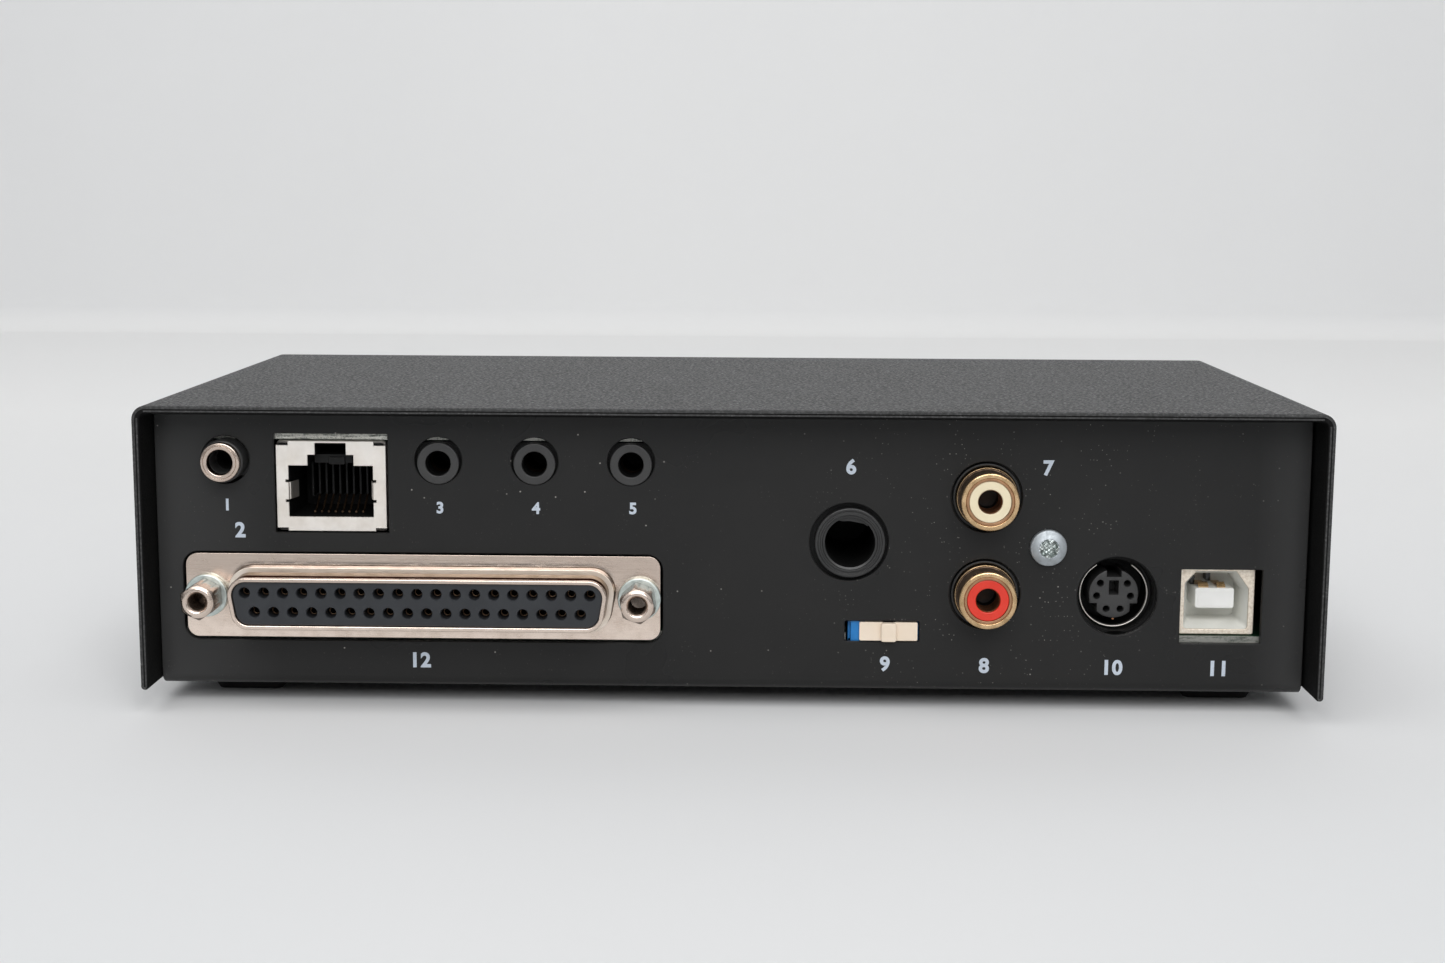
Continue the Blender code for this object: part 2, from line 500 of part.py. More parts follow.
def place(name, mesh, finish_name, location, rotation=UPRIGHT):
    """Puts a mesh in the scene: a part when it has a finish, else a hidden cutter or guide."""
    item = bpy.data.objects.new(name, mesh)
    item.location = location
    item.rotation_euler = rotation
    if finish_name:
        PARTS.objects.link(item)
        mesh.materials.append(finish(finish_name))
    else:
        GUIDES.objects.link(item)
        item.hide_render = True
        item.display_type = "WIRE"
    return item


def block(name, finish_name, x, y, z):
    """A box between pairs of values along each axis."""
    low = Vector((x[0], y[0], z[0]))
    high = Vector((x[1], y[1], z[1]))
    mesh = bpy.data.meshes.new(name)
    shape = bmesh.new()
    bmesh.ops.create_cube(shape, size=1, matrix=Matrix.Diagonal((*(high - low), 1)))
    shape.to_mesh(mesh)
    shape.free()
    return place(name, mesh, finish_name, (low + high) / 2)


def about(centre, width):
    """The pair of values half a width to each side of a centre."""
    return centre - width / 2, centre + width / 2


def rod(name, finish_name, radius, foot, length, rotation=UPRIGHT, sides=ROUND_SIDES, end_radius=None):
    """A cylinder or cone from its foot along the rotation's local +Z."""
    mesh = bpy.data.meshes.new(name)
    shape = bmesh.new()
    far_radius = radius if end_radius is None else end_radius
    bmesh.ops.create_cone(shape, cap_ends=True, segments=sides, radius1=radius, radius2=far_radius,
                          depth=length, matrix=Matrix.Translation((0, 0, length / 2)))
    shape.to_mesh(mesh)
    shape.free()
    mesh.shade_smooth()
    mesh.set_sharp_from_angle(angle=SHARP_ANGLE)
    return place(name, mesh, finish_name, foot, rotation)


def hexagon_rod(name, finish_name, flats, foot, length, rotation=UPRIGHT):
    """A hexagonal bar of a width across its flats."""
    return rod(name, finish_name, flats / math.sqrt(3), foot, length, rotation, sides=6)


def turned(name, finish_name, profile, foot, rotation=UPRIGHT, sides=ROUND_SIDES, closed=False):
    """A profile of (radius, height) points, from the top down its outer side, turned about Z."""
    mesh = bpy.data.meshes.new(name)
    count = len(profile)
    edges = [(index, index + 1) for index in range(count - 1)]
    if closed:
        edges.append((count - 1, 0))
    mesh.from_pydata([(radius, 0, height) for radius, height in profile], edges, [])
    item = place(name, mesh, finish_name, foot, rotation)
    spin = item.modifiers.new("turn", "SCREW")
    spin.steps = sides
    spin.render_steps = sides
    spin.use_merge_vertices = True
    spin.merge_threshold = MERGE_DISTANCE
    spin.use_smooth_shade = False
    return item


def tube(name, finish_name, outer, inner, foot, length, rotation=UPRIGHT, sides=ROUND_SIDES):
    """A plain tube from its foot along the rotation's local +Z."""
    profile = [(outer, length), (outer, 0), (inner, 0), (inner, length)]
    return turned(name, finish_name, profile, foot, rotation, sides, closed=True)


def rounded(corners, radius, steps=CORNER_STEPS):
    """A convex outline, listed anticlockwise, with each corner an arc of one radius."""
    outline = []
    for index, corner in enumerate(corners):
        here = Vector(corner)
        back = (Vector(corners[index - 1]) - here).normalized()
        ahead = (Vector(corners[(index + 1) % len(corners)]) - here).normalized()
        half = back.angle(ahead) / 2
        centre = here + (back + ahead).normalized() * (radius / math.sin(half))
        start = here + back * (radius / math.tan(half)) - centre
        sweep = math.pi - 2 * half
        for step in range(steps + 1):
            turn = Matrix.Rotation(sweep * step / steps, 2)
            outline.append(tuple(centre + turn @ start))
    return outline


def rectangle(width, height):
    """The corners of a rectangle about the origin, anticlockwise."""
    return [(-width / 2, -height / 2), (width / 2, -height / 2), (width / 2, height / 2),
            (-width / 2, height / 2)]


def d_outline(width, height, corner):
    """The D of a connector's shell, wider at its top, with slanted sides."""
    lean = height * math.tan(DSUB_SLANT)
    corners = [(lean - width / 2, -height / 2), (width / 2 - lean, -height / 2),
               (width / 2, height / 2), (-width / 2, height / 2)]
    return rounded(corners, corner)


def slab(name, finish_name, outline, x, z, front, back):
    """A flat outline in the panel's plane, from one depth behind the rear face to another."""
    curve = bpy.data.curves.new(name, "CURVE")
    curve.dimensions = "2D"
    curve.fill_mode = "BOTH"
    curve.extrude = (back - front) / 2
    spline = curve.splines.new("POLY")
    spline.points.add(len(outline) - 1)
    for point, (across, up) in zip(spline.points, outline):
        point.co = (across, up, 0, 1)
    spline.use_cyclic_u = True
    drawn = bpy.data.objects.new(name + "_outline", curve)
    GUIDES.objects.link(drawn)
    bpy.context.view_layer.update()
    evaluated = drawn.evaluated_get(bpy.context.evaluated_depsgraph_get())
    mesh = bpy.data.meshes.new_from_object(evaluated)
    mesh.name = name
    bpy.data.objects.remove(drawn, do_unlink=True)
    shape = bmesh.new()
    shape.from_mesh(mesh)
    bmesh.ops.remove_doubles(shape, verts=shape.verts, dist=WELD_DISTANCE)
    bmesh.ops.recalc_face_normals(shape, faces=shape.faces)
    shape.to_mesh(mesh)
    shape.free()
    mesh.materials.clear()
    return place(name, mesh, finish_name, (x, REAR_Y + (front + back) / 2, z), REARWARD)


def combine(target, operation, pieces):
    """Cuts pieces out of the target, or joins them to it."""
    for piece in pieces:
        step = target.modifiers.new(piece.name, "BOOLEAN")
        step.operation = operation
        step.solver = "EXACT"
        step.object = piece


def cut(target, *pieces):
    combine(target, "DIFFERENCE", pieces)


def join(target, *pieces):
    combine(target, "UNION", pieces)


def behind(x, z, distance):
    """A point some way behind the rear panel's outer face, or outside it when negative."""
    return x, REAR_Y + distance, z


def hole(name, radius, x, z, sides=ROUND_SIDES):
    """A cutter for a round hole through the rear panel."""
    length = CHASSIS_SHEET + 2 * OVERRUN
    return rod(name, None, radius, behind(x, z, CHASSIS_SHEET + OVERRUN), length, REARWARD, sides)


def window(name, left, right, low, high):
    """A cutter for a square-cornered hole through the rear panel."""
    return block(name, None, (left, right), (REAR_Y - OVERRUN, REAR_Y + CHASSIS_SHEET + OVERRUN),
                 (low, high))


def bent_sheet(name, finish_name, path, width, sheet, bend, along):
    """A bent sheet: a path of corners in (run, Z), spread over a width along X or Y.

    The path is the sheet's outer face, and the sheet's thickness lies on the inner side.
    """
    mesh = bpy.data.meshes.new(name)
    shape = bmesh.new()
    for side in (-width / 2, width / 2):
        for run, height in path:
            shape.verts.new((side, run, height) if along == "X" else (run, side, height))
    shape.verts.ensure_lookup_table()
    count = len(path)
    for index in range(count - 1):
        shape.faces.new([shape.verts[place_in] for place_in in
                         (index, index + 1, index + 1 + count, index + count)])
    shape.to_mesh(mesh)
    shape.free()
    item = place(name, mesh, finish_name, (0, 0, 0))
    rounding = item.modifiers.new("bends", "BEVEL")
    rounding.width = bend
    rounding.segments = BEND_SEGMENTS
    rounding.limit_method = "ANGLE"
    thickness = item.modifiers.new("sheet", "SOLIDIFY")
    thickness.thickness = sheet
    thickness.offset = -1
    thickness.use_even_offset = True
    return item


def pan_screw(name, finish_name, seat, rotation, length):
    """A pan-head screw whose head stands on the seat, with its shank going the other way."""
    head = SCREW_HEAD_HEIGHT
    profile = [(0, head), (SCREW_HEAD_RADIUS * SCREW_HEAD_TOP_SHARE, head),
               (SCREW_HEAD_RADIUS, head * SCREW_HEAD_EDGE_SHARE), (SCREW_HEAD_RADIUS, 0),
               (SCREW_RADIUS, 0), (SCREW_RADIUS, -length), (0, -length)]
    screw = turned(name, finish_name, profile, seat, rotation, SMALL_SIDES)
    turn = screw.rotation_euler.to_matrix()
    middle = Vector(seat) + turn @ Vector((0, 0, head))
    arms = []
    for number, spans in enumerate(((RECESS_SPAN, RECESS_SLOT), (RECESS_SLOT, RECESS_SPAN))):
        mesh = bpy.data.meshes.new(name)
        shape = bmesh.new()
        bmesh.ops.create_cube(shape, size=1, matrix=Matrix.Diagonal((*spans, 2 * RECESS_DEPTH, 1)))
        shape.to_mesh(mesh)
        shape.free()
        arms.append(place(f"{name}_recess_{number + 1}", mesh, None, middle, rotation))
    cut(screw, *arms)
    return screw


def pillar_places():
    """The four corners where the boards are held, with their names."""
    for end, y in (("rear", PILLAR_REAR_Y), ("front", PILLAR_FRONT_Y)):
        for side, x in (("left", -PILLAR_X), ("right", PILLAR_X)):
            yield f"{end}_{side}", x, y


def cover_screw_places():
    """Where the cover's screws go: a sign for the side, and a depth."""
    for end, y in (("rear", REAR_Y + CASE_SCREW_INSET), ("front", FRONT_Y - CASE_SCREW_INSET)):
        for side, sign in (("left", -1), ("right", 1)):
            yield f"{end}_{side}", sign, y


def side_hole(name, sign, y):
    """A cutter for a cover screw's hole through one wall and the floor's turned-up edge."""
    start = PANEL_WIDTH / 2 - CHASSIS_SHEET - OVERRUN
    length = CHASSIS_SHEET + COVER_FIT + COVER_SHEET + 2 * OVERRUN
    rotation = RIGHTWARD if sign > 0 else LEFTWARD
    return rod(name, None, SCREW_RADIUS + SEAT, (sign * start, y, CASE_SCREW_Z), length, rotation,
               SMALL_SIDES)


def make_case():
    """The bent cover, the bent chassis with all its openings, the cover's screws and the feet."""
    half = COVER_WIDTH / 2
    low = FOOT_HEIGHT + COVER_LIFT
    arch = [(-half, low), (-half, OVERALL_HEIGHT), (half, OVERALL_HEIGHT), (half, low)]
    cover = bent_sheet("top_cover", "powder_coated_cover", arch, COVER_LENGTH, COVER_SHEET,
                       COVER_BEND, "Y")
    cover.location.y = (REAR_Y + FRONT_Y) / 2
    tray = [(REAR_Y, PANEL_TOP), (REAR_Y, FOOT_HEIGHT), (FRONT_Y, FOOT_HEIGHT), (FRONT_Y, PANEL_TOP)]
    chassis = bent_sheet("base_chassis", "painted_chassis", tray, PANEL_WIDTH, CHASSIS_SHEET,
                         CHASSIS_BEND, "X")
    edges = []
    for side, sign in (("left", -1), ("right", 1)):
        faces = sorted((sign * PANEL_WIDTH / 2, sign * (PANEL_WIDTH / 2 - CHASSIS_SHEET)))
        edges.append(block(f"floor_edge_{side}", None, faces,
                           (REAR_Y + FLANGE_INSET, FRONT_Y - FLANGE_INSET),
                           (FOOT_HEIGHT, FLOOR_TOP + FLANGE_HEIGHT)))
    join(chassis, *edges)
    for corner, sign, y in cover_screw_places():
        opening = side_hole(f"cover_hole_{corner}", sign, y)
        cut(cover, opening)
        cut(chassis, opening)
        seat = sign * (COVER_WIDTH / 2 + SEAT), y, CASE_SCREW_Z
        pan_screw(f"cover_screw_{corner}", "zinc_steel", seat, RIGHTWARD if sign > 0 else LEFTWARD,
                  COVER_SCREW_LENGTH)
    for end, y in (("rear", REAR_Y + FOOT_INSET_Y), ("front", FRONT_Y - FOOT_INSET_Y)):
        for side, sign in (("left", -1), ("right", 1)):
            rod(f"foot_{end}_{side}", "foot_rubber", FOOT_BOTTOM_RADIUS,
                (sign * (PANEL_WIDTH / 2 - FOOT_INSET_X), y, 0), FOOT_HEIGHT - SEAT,
                sides=SMALL_SIDES, end_radius=FOOT_TOP_RADIUS)
    return chassis


def make_boards():
    """The two circuit boards, the pillars that hold them apart and the screws on top."""
    width = about(0, BOARD_WIDTH)
    depth = (BOARD_REAR_Y, BOARD_FRONT_Y)
    main = block("main_board", "board_green", width, depth, (MAIN_UNDERSIDE, MAIN_TOP))
    upper_depth = (BOARD_REAR_Y, PILLAR_FRONT_Y + PILLAR_FLATS)
    upper = block("upper_board", "board_green", width, upper_depth, (UPPER_UNDERSIDE, UPPER_TOP))
    stud_hole = SCREW_RADIUS + SEAT
    for corner, x, y in pillar_places():
        for board, low in ((main, MAIN_UNDERSIDE), (upper, UPPER_UNDERSIDE)):
            cut(board, rod(f"{board.name}_hole_{corner}", None, stud_hole, (x, y, low - OVERRUN),
                           BOARD_SHEET + 2 * OVERRUN, sides=SMALL_SIDES))
        standoff = hexagon_rod(f"standoff_{corner}", "zinc_steel", PILLAR_FLATS,
                               (x, y, FLOOR_TOP + SEAT), STANDOFF_HEIGHT - 2 * SEAT)
        cut(standoff, rod(f"standoff_bore_{corner}", None, stud_hole, (x, y, FLOOR_TOP - OVERRUN),
                          STANDOFF_HEIGHT + 2 * OVERRUN, sides=SMALL_SIDES))
        foot = MAIN_TOP + SEAT
        length = UPPER_UNDERSIDE - SEAT - foot
        spacer = hexagon_rod(f"board_spacer_{corner}", "zinc_steel", PILLAR_FLATS, (x, y, foot), length)
        join(spacer, rod(f"spacer_stud_{corner}", None, SCREW_RADIUS, (x, y, foot - STUD_LENGTH),
                         STUD_LENGTH + OVERRUN, sides=SMALL_SIDES))
        cut(spacer, rod(f"spacer_bore_{corner}", None, stud_hole,
                        (x, y, foot + length - TAPPED_DEPTH), TAPPED_DEPTH + OVERRUN, sides=SMALL_SIDES))
        pan_screw(f"board_screw_{corner}", "zinc_steel", (x, y, UPPER_TOP + SEAT), UPRIGHT, SCREW_LENGTH)
    notch_depth = SWITCH_DEPTH + SEAT
    cut(main, block("switch_notch", None, about(SWITCH_X, SWITCH_WIDTH + 2 * SEAT),
                    (BOARD_REAR_Y - OVERRUN, BOARD_REAR_Y + notch_depth),
                    (MAIN_UNDERSIDE - OVERRUN, MAIN_TOP + OVERRUN)))


def make_board_parts():
    """The microcontroller, the keying relay and the strip that joins the two boards."""
    height = MAIN_TOP + SEAT
    block("microcontroller", "chip_epoxy", about(0, CHIP_SIDE), about(PARTS_Y, CHIP_SIDE),
          (height, height + CHIP_HEIGHT))
    relay_x = (CHIP_SIDE + RELAY_LENGTH) / 2 + BOARD_PART_GAP
    block("keying_relay", "chip_epoxy", about(relay_x, RELAY_LENGTH), about(PARTS_Y, RELAY_WIDTH),
          (height, height + RELAY_HEIGHT))
    link_x = -(CHIP_SIDE + LINK_LENGTH) / 2 - BOARD_PART_GAP
    block("board_link", "black_plastic", about(link_x, LINK_LENGTH), about(PARTS_Y, LINK_WIDTH),
          (height, UPPER_UNDERSIDE - SEAT))


def make_dsub(chassis):
    """The 37-way D connector: shell, insulator, two jackscrews and their washers."""
    opening = rectangle(DSUB_FLANGE_WIDTH + 2 * DSUB_CUT_GAP, DSUB_FLANGE_HEIGHT + 2 * DSUB_CUT_GAP)
    cut(chassis, slab("dsub_hole", None, rounded(opening, DSUB_FLANGE_CORNER + DSUB_CUT_GAP),
                      DSUB_X, DSUB_Z, -OVERRUN, CHASSIS_SHEET + OVERRUN))
    flange = rounded(rectangle(DSUB_FLANGE_WIDTH, DSUB_FLANGE_HEIGHT), DSUB_FLANGE_CORNER)
    shell = slab("dsub_shell", "nickel", flange, DSUB_X, DSUB_Z, 0, DSUB_FLANGE_SHEET)
    middle = DSUB_FLANGE_SHEET / 2
    nose = slab("dsub_nose", None, d_outline(DSUB_WIDTH, DSUB_HEIGHT, DSUB_CORNER), DSUB_X, DSUB_Z,
                -DSUB_LENGTH, middle)
    step = slab("dsub_step", None, d_outline(DSUB_WIDTH + 2 * DSUB_STEP, DSUB_HEIGHT + 2 * DSUB_STEP,
                DSUB_CORNER + DSUB_STEP), DSUB_X, DSUB_Z, -DSUB_STEP_LENGTH, middle)
    rear = slab("dsub_rear", None, d_outline(DSUB_REAR_WIDTH, DSUB_REAR_HEIGHT, DSUB_CORNER), DSUB_X,
                DSUB_Z, middle, DSUB_FLANGE_SHEET + DSUB_REAR_DEPTH)
    join(shell, nose, step, rear)
    inner = d_outline(DSUB_WIDTH - 2 * DSUB_WALL, DSUB_HEIGHT - 2 * DSUB_WALL, DSUB_CORNER - DSUB_WALL)
    rear_end = DSUB_FLANGE_SHEET + DSUB_REAR_DEPTH
    cut(shell, slab("dsub_inside", None, inner, DSUB_X, DSUB_Z, -DSUB_LENGTH - OVERRUN,
                    rear_end + OVERRUN))
    gap = DSUB_WALL + INSERT_GAP
    face = d_outline(DSUB_WIDTH - 2 * gap, DSUB_HEIGHT - 2 * gap, DSUB_CORNER - gap)
    insulator = slab("dsub_insulator", "dark_insulator", face, DSUB_X, DSUB_Z,
                     DSUB_FACE_SET - DSUB_LENGTH, rear_end + SEAT + OVERRUN)
    block_start = REAR_Y + rear_end + SEAT
    join(insulator, block("dsub_foot", None, about(DSUB_X, DSUB_REAR_WIDTH),
                          (block_start, block_start + DSUB_BLOCK_DEPTH),
                          (MAIN_TOP + SEAT, DSUB_Z + DSUB_REAR_HEIGHT / 2)))
    for row, count in ((1, DSUB_UPPER_SOCKETS), (-1, DSUB_UPPER_SOCKETS - 1)):
        for number in range(count):
            across = (number - (count - 1) / 2) * DSUB_PITCH
            mouth = behind(DSUB_X + across, DSUB_Z + row * DSUB_ROW_PITCH / 2,
                           DSUB_FACE_SET - DSUB_LENGTH + DSUB_SOCKET_DEPTH)
            cut(insulator, rod(f"dsub_socket_{'upper' if row > 0 else 'lower'}_{number + 1}", None,
                               DSUB_SOCKET_RADIUS, mouth, DSUB_SOCKET_DEPTH + OVERRUN, REARWARD,
                               SOCKET_SIDES))
    for side, sign in (("left", -1), ("right", 1)):
        x = DSUB_X + sign * JACKSCREW_SPACING / 2
        cut(shell, rod(f"jackscrew_hole_{side}", None, JACKSCREW_STUD_RADIUS + SEAT,
                       behind(x, DSUB_Z, DSUB_FLANGE_SHEET + OVERRUN), DSUB_FLANGE_SHEET + 2 * OVERRUN,
                       REARWARD, SMALL_SIDES))
        tube(f"jackscrew_washer_{side}", "blued_zinc", WASHER_RADIUS, JACKSCREW_STUD_RADIUS + SEAT,
             behind(x, DSUB_Z, -SEAT), WASHER_SHEET, REARWARD, SMALL_SIDES)
        foot = -2 * SEAT - WASHER_SHEET
        jackscrew = hexagon_rod(f"jackscrew_{side}", "nickel", JACKSCREW_FLATS,
                                behind(x, DSUB_Z, foot), JACKSCREW_LENGTH - JACKSCREW_TIP_LENGTH, REARWARD)
        tip = foot - JACKSCREW_LENGTH
        join(jackscrew, rod(f"jackscrew_tip_{side}", None, JACKSCREW_TIP_RADIUS,
                            behind(x, DSUB_Z, foot - JACKSCREW_LENGTH / 2), JACKSCREW_LENGTH / 2,
                            REARWARD, SMALL_SIDES))
        join(jackscrew, rod(f"jackscrew_stud_{side}", None, JACKSCREW_STUD_RADIUS,
                            behind(x, DSUB_Z, foot + JACKSCREW_STUD_LENGTH),
                            JACKSCREW_STUD_LENGTH + JACKSCREW_TIP_LENGTH, REARWARD, SMALL_SIDES))
        cut(jackscrew, rod(f"jackscrew_bore_{side}", None, JACKSCREW_BORE_RADIUS,
                           behind(x, DSUB_Z, tip + JACKSCREW_BORE_DEPTH),
                           JACKSCREW_BORE_DEPTH + OVERRUN, REARWARD, SMALL_SIDES))


def make_ext_mic(chassis):
    """The small jack whose black nose and nickel ring stand out of the panel."""
    cut(chassis, hole("ext_mic_hole", EXT_MIC_HOLE_RADIUS, EXT_MIC_X, EXT_MIC_Z))
    body = block("ext_mic_jack", "black_plastic", about(EXT_MIC_X, EXT_MIC_WIDTH),
                 (REAR_Y + BODY_SET, REAR_Y + BODY_SET + EXT_MIC_DEPTH), about(EXT_MIC_Z, EXT_MIC_HEIGHT))
    join(body, rod("ext_mic_neck", None, EXT_MIC_NECK_RADIUS,
                   behind(EXT_MIC_X, EXT_MIC_Z, BODY_SET + OVERRUN),
                   BODY_SET + OVERRUN, REARWARD))
    join(body, rod("ext_mic_nose", None, EXT_MIC_NOSE_RADIUS,
                   behind(EXT_MIC_X, EXT_MIC_Z, CHASSIS_SHEET),
                   CHASSIS_SHEET + EXT_MIC_NOSE_PROUD, REARWARD))
    cut(body, rod("ext_mic_bore", None, EXT_MIC_BORE_RADIUS,
                  behind(EXT_MIC_X, EXT_MIC_Z, EXT_MIC_BORE_DEPTH - EXT_MIC_NOSE_PROUD),
                  EXT_MIC_BORE_DEPTH + OVERRUN, REARWARD, SMALL_SIDES))
    spigot_hole = EXT_MIC_SPIGOT_LENGTH + SEAT
    cut(body, rod("ext_mic_counterbore", None, EXT_MIC_SPIGOT_RADIUS + INSERT_GAP,
                  behind(EXT_MIC_X, EXT_MIC_Z, spigot_hole - EXT_MIC_NOSE_PROUD),
                  spigot_hole + OVERRUN, REARWARD, SMALL_SIDES))
    length = EXT_MIC_RING_LENGTH
    profile = [(EXT_MIC_RING_RADIUS, length), (EXT_MIC_RING_RADIUS, 0), (EXT_MIC_SPIGOT_RADIUS, 0),
               (EXT_MIC_SPIGOT_RADIUS, -EXT_MIC_SPIGOT_LENGTH), (EXT_MIC_BORE_RADIUS, -EXT_MIC_SPIGOT_LENGTH),
               (EXT_MIC_BORE_RADIUS, length)]
    turned("ext_mic_ring", "nickel", profile,
           behind(EXT_MIC_X, EXT_MIC_Z, -EXT_MIC_NOSE_PROUD - INSERT_GAP), REARWARD, closed=True)


def make_modular_socket(chassis):
    """The eight-way socket with its latch notch upwards: a metal shield round a plastic body."""
    low = RJ_Z - RJ_HEIGHT / 2
    high = RJ_Z + RJ_HEIGHT / 2
    left, right = about(RJ_X, RJ_WIDTH)
    cut(chassis, window("rj_hole", left - RJ_SIDE_GAP, right + RJ_SIDE_GAP, low - RJ_SIDE_GAP,
                        high + RJ_TOP_GAP))
    start = REAR_Y + RJ_SET
    end = start + RJ_DEPTH
    shield = block("modular_socket_shield", "nickel", (left, right), (start, end), (low, high))
    cut(shield, block("rj_shield_inside", None, (left + RJ_SHEET, right - RJ_SHEET),
                      (start + RJ_SHEET, end + OVERRUN), (low + RJ_SHEET, high - RJ_SHEET)))
    inset = RJ_SHEET + SEAT
    body = block("modular_socket_body", "black_plastic", (left + inset, right - inset),
                 (start + inset, end), (low + inset, high - inset))
    floor = RJ_FLOOR - RJ_HEIGHT / 2
    shoulder = floor + RJ_CAVITY_HEIGHT
    step_top = shoulder + RJ_STEP_HEIGHT
    mouth = [(-RJ_CAVITY_WIDTH / 2, floor), (RJ_CAVITY_WIDTH / 2, floor), (RJ_CAVITY_WIDTH / 2, shoulder),
             (RJ_STEP_WIDTH / 2, shoulder), (RJ_STEP_WIDTH / 2, step_top),
             (RJ_LATCH_WIDTH / 2, step_top), (RJ_LATCH_WIDTH / 2, step_top + RJ_LATCH_HEIGHT),
             (-RJ_LATCH_WIDTH / 2, step_top + RJ_LATCH_HEIGHT), (-RJ_LATCH_WIDTH / 2, step_top),
             (-RJ_STEP_WIDTH / 2, step_top), (-RJ_STEP_WIDTH / 2, shoulder),
             (-RJ_CAVITY_WIDTH / 2, shoulder)]
    cavity = slab("rj_cavity", None, mouth, RJ_X, RJ_Z, RJ_SET - OVERRUN, RJ_SET + RJ_CAVITY_DEPTH)
    cut(shield, cavity)
    cut(body, cavity)


def make_audio_jacks(chassis):
    """Three alike jacks under the upper board, each with its nose in a larger round hole."""
    for number, name in enumerate(JACK_NAMES):
        x = JACK_X + number * JACK_PITCH
        cut(chassis, hole(f"{name}_hole", JACK_HOLE_RADIUS, x, JACK_Z + JACK_HOLE_LIFT))
        body = block(name, "black_plastic", about(x, JACK_WIDTH),
                     (REAR_Y + BODY_SET, REAR_Y + BODY_SET + JACK_DEPTH), about(JACK_Z, JACK_HEIGHT))
        join(body, rod(f"{name}_nose", None, JACK_NOSE_RADIUS, behind(x, JACK_Z, BODY_SET + OVERRUN),
                       BODY_SET + OVERRUN + JACK_NOSE_PROUD, REARWARD))
        cut(body, rod(f"{name}_bore", None, JACK_BORE_RADIUS,
                      behind(x, JACK_Z, JACK_BORE_DEPTH - JACK_NOSE_PROUD),
                      JACK_BORE_DEPTH + OVERRUN, REARWARD, SMALL_SIDES))


def make_paddle_jack(chassis):
    """The large jack that the keying paddle plugs into, hanging from the upper board."""
    cut(chassis, hole("paddle_hole", PADDLE_HOLE_RADIUS, PADDLE_X, PADDLE_Z))
    body = block("paddle_jack", "black_plastic", about(PADDLE_X, PADDLE_WIDTH),
                 (REAR_Y + BODY_SET, REAR_Y + BODY_SET + PADDLE_DEPTH),
                 (PADDLE_Z - PADDLE_FLOOR, UPPER_UNDERSIDE - SEAT))
    root = BODY_SET + OVERRUN
    join(body, rod("paddle_nose", None, PADDLE_NOSE_RADIUS, behind(PADDLE_X, PADDLE_Z, root),
                   root - PADDLE_NOSE_SET, REARWARD))
    join(body, rod("paddle_lip", None, PADDLE_LIP_RADIUS, behind(PADDLE_X, PADDLE_Z, root),
                   root - PADDLE_LIP_SET, REARWARD))
    cut(body, rod("paddle_bore", None, PADDLE_BORE_RADIUS,
                  behind(PADDLE_X, PADDLE_Z, PADDLE_LIP_SET + PADDLE_BORE_DEPTH),
                  PADDLE_BORE_DEPTH + OVERRUN, REARWARD))


def make_slide_switch(chassis):
    """The blue switch in its board notch, and the cream lever that slides along X."""
    slot_width = SLIDER_WIDTH + SWITCH_TRAVEL + 2 * SLIDER_END_GAP
    slot_height = SLIDER_HEIGHT + 2 * SLIDER_EDGE_GAP
    centre = SWITCH_X - SLIDER_END_GAP
    cut(chassis, window("switch_hole", *about(centre, slot_width), *about(SWITCH_Z, slot_height)))
    front = REAR_Y + BODY_SET
    body = block("mode_switch_body", "blue_plastic", about(SWITCH_X, SWITCH_WIDTH),
                 (front, front + SWITCH_DEPTH), about(SWITCH_Z, SWITCH_HEIGHT))
    ledge_low = MAIN_TOP + SEAT
    join(body, block("switch_ledge", None, about(SWITCH_X, SWITCH_WIDTH),
                     (front + SWITCH_DEPTH / 2, front + SWITCH_DEPTH + SWITCH_LEDGE_DEPTH),
                     (ledge_low, SWITCH_Z + SWITCH_HEIGHT / 2)))
    cut(body, block("switch_groove", None, about(centre, SWITCH_GROOVE),
                    (front - OVERRUN, front + SLIDER_STEM_LENGTH + SEAT),
                    about(SWITCH_Z, SLIDER_STEM_HEIGHT + 2 * SEAT)))
    slider_x = centre + SWITCH_TRAVEL / 2
    face = REAR_Y - SLIDER_PROUD
    plate_back = front - SEAT
    slider = block("mode_switch_slider", "cream_plastic", about(slider_x, SLIDER_WIDTH),
                   (face, plate_back), about(SWITCH_Z, SLIDER_HEIGHT))
    join(slider, block("slider_nub", None, about(slider_x, SLIDER_NUB_WIDTH),
                       (face - SLIDER_NUB_PROUD, plate_back - SEAT), about(SWITCH_Z, SLIDER_HEIGHT)))
    join(slider, block("slider_stem", None, about(slider_x, SLIDER_STEM_WIDTH),
                       (face + SLIDER_PROUD, front + SLIDER_STEM_LENGTH),
                       about(SWITCH_Z, SLIDER_STEM_HEIGHT)))


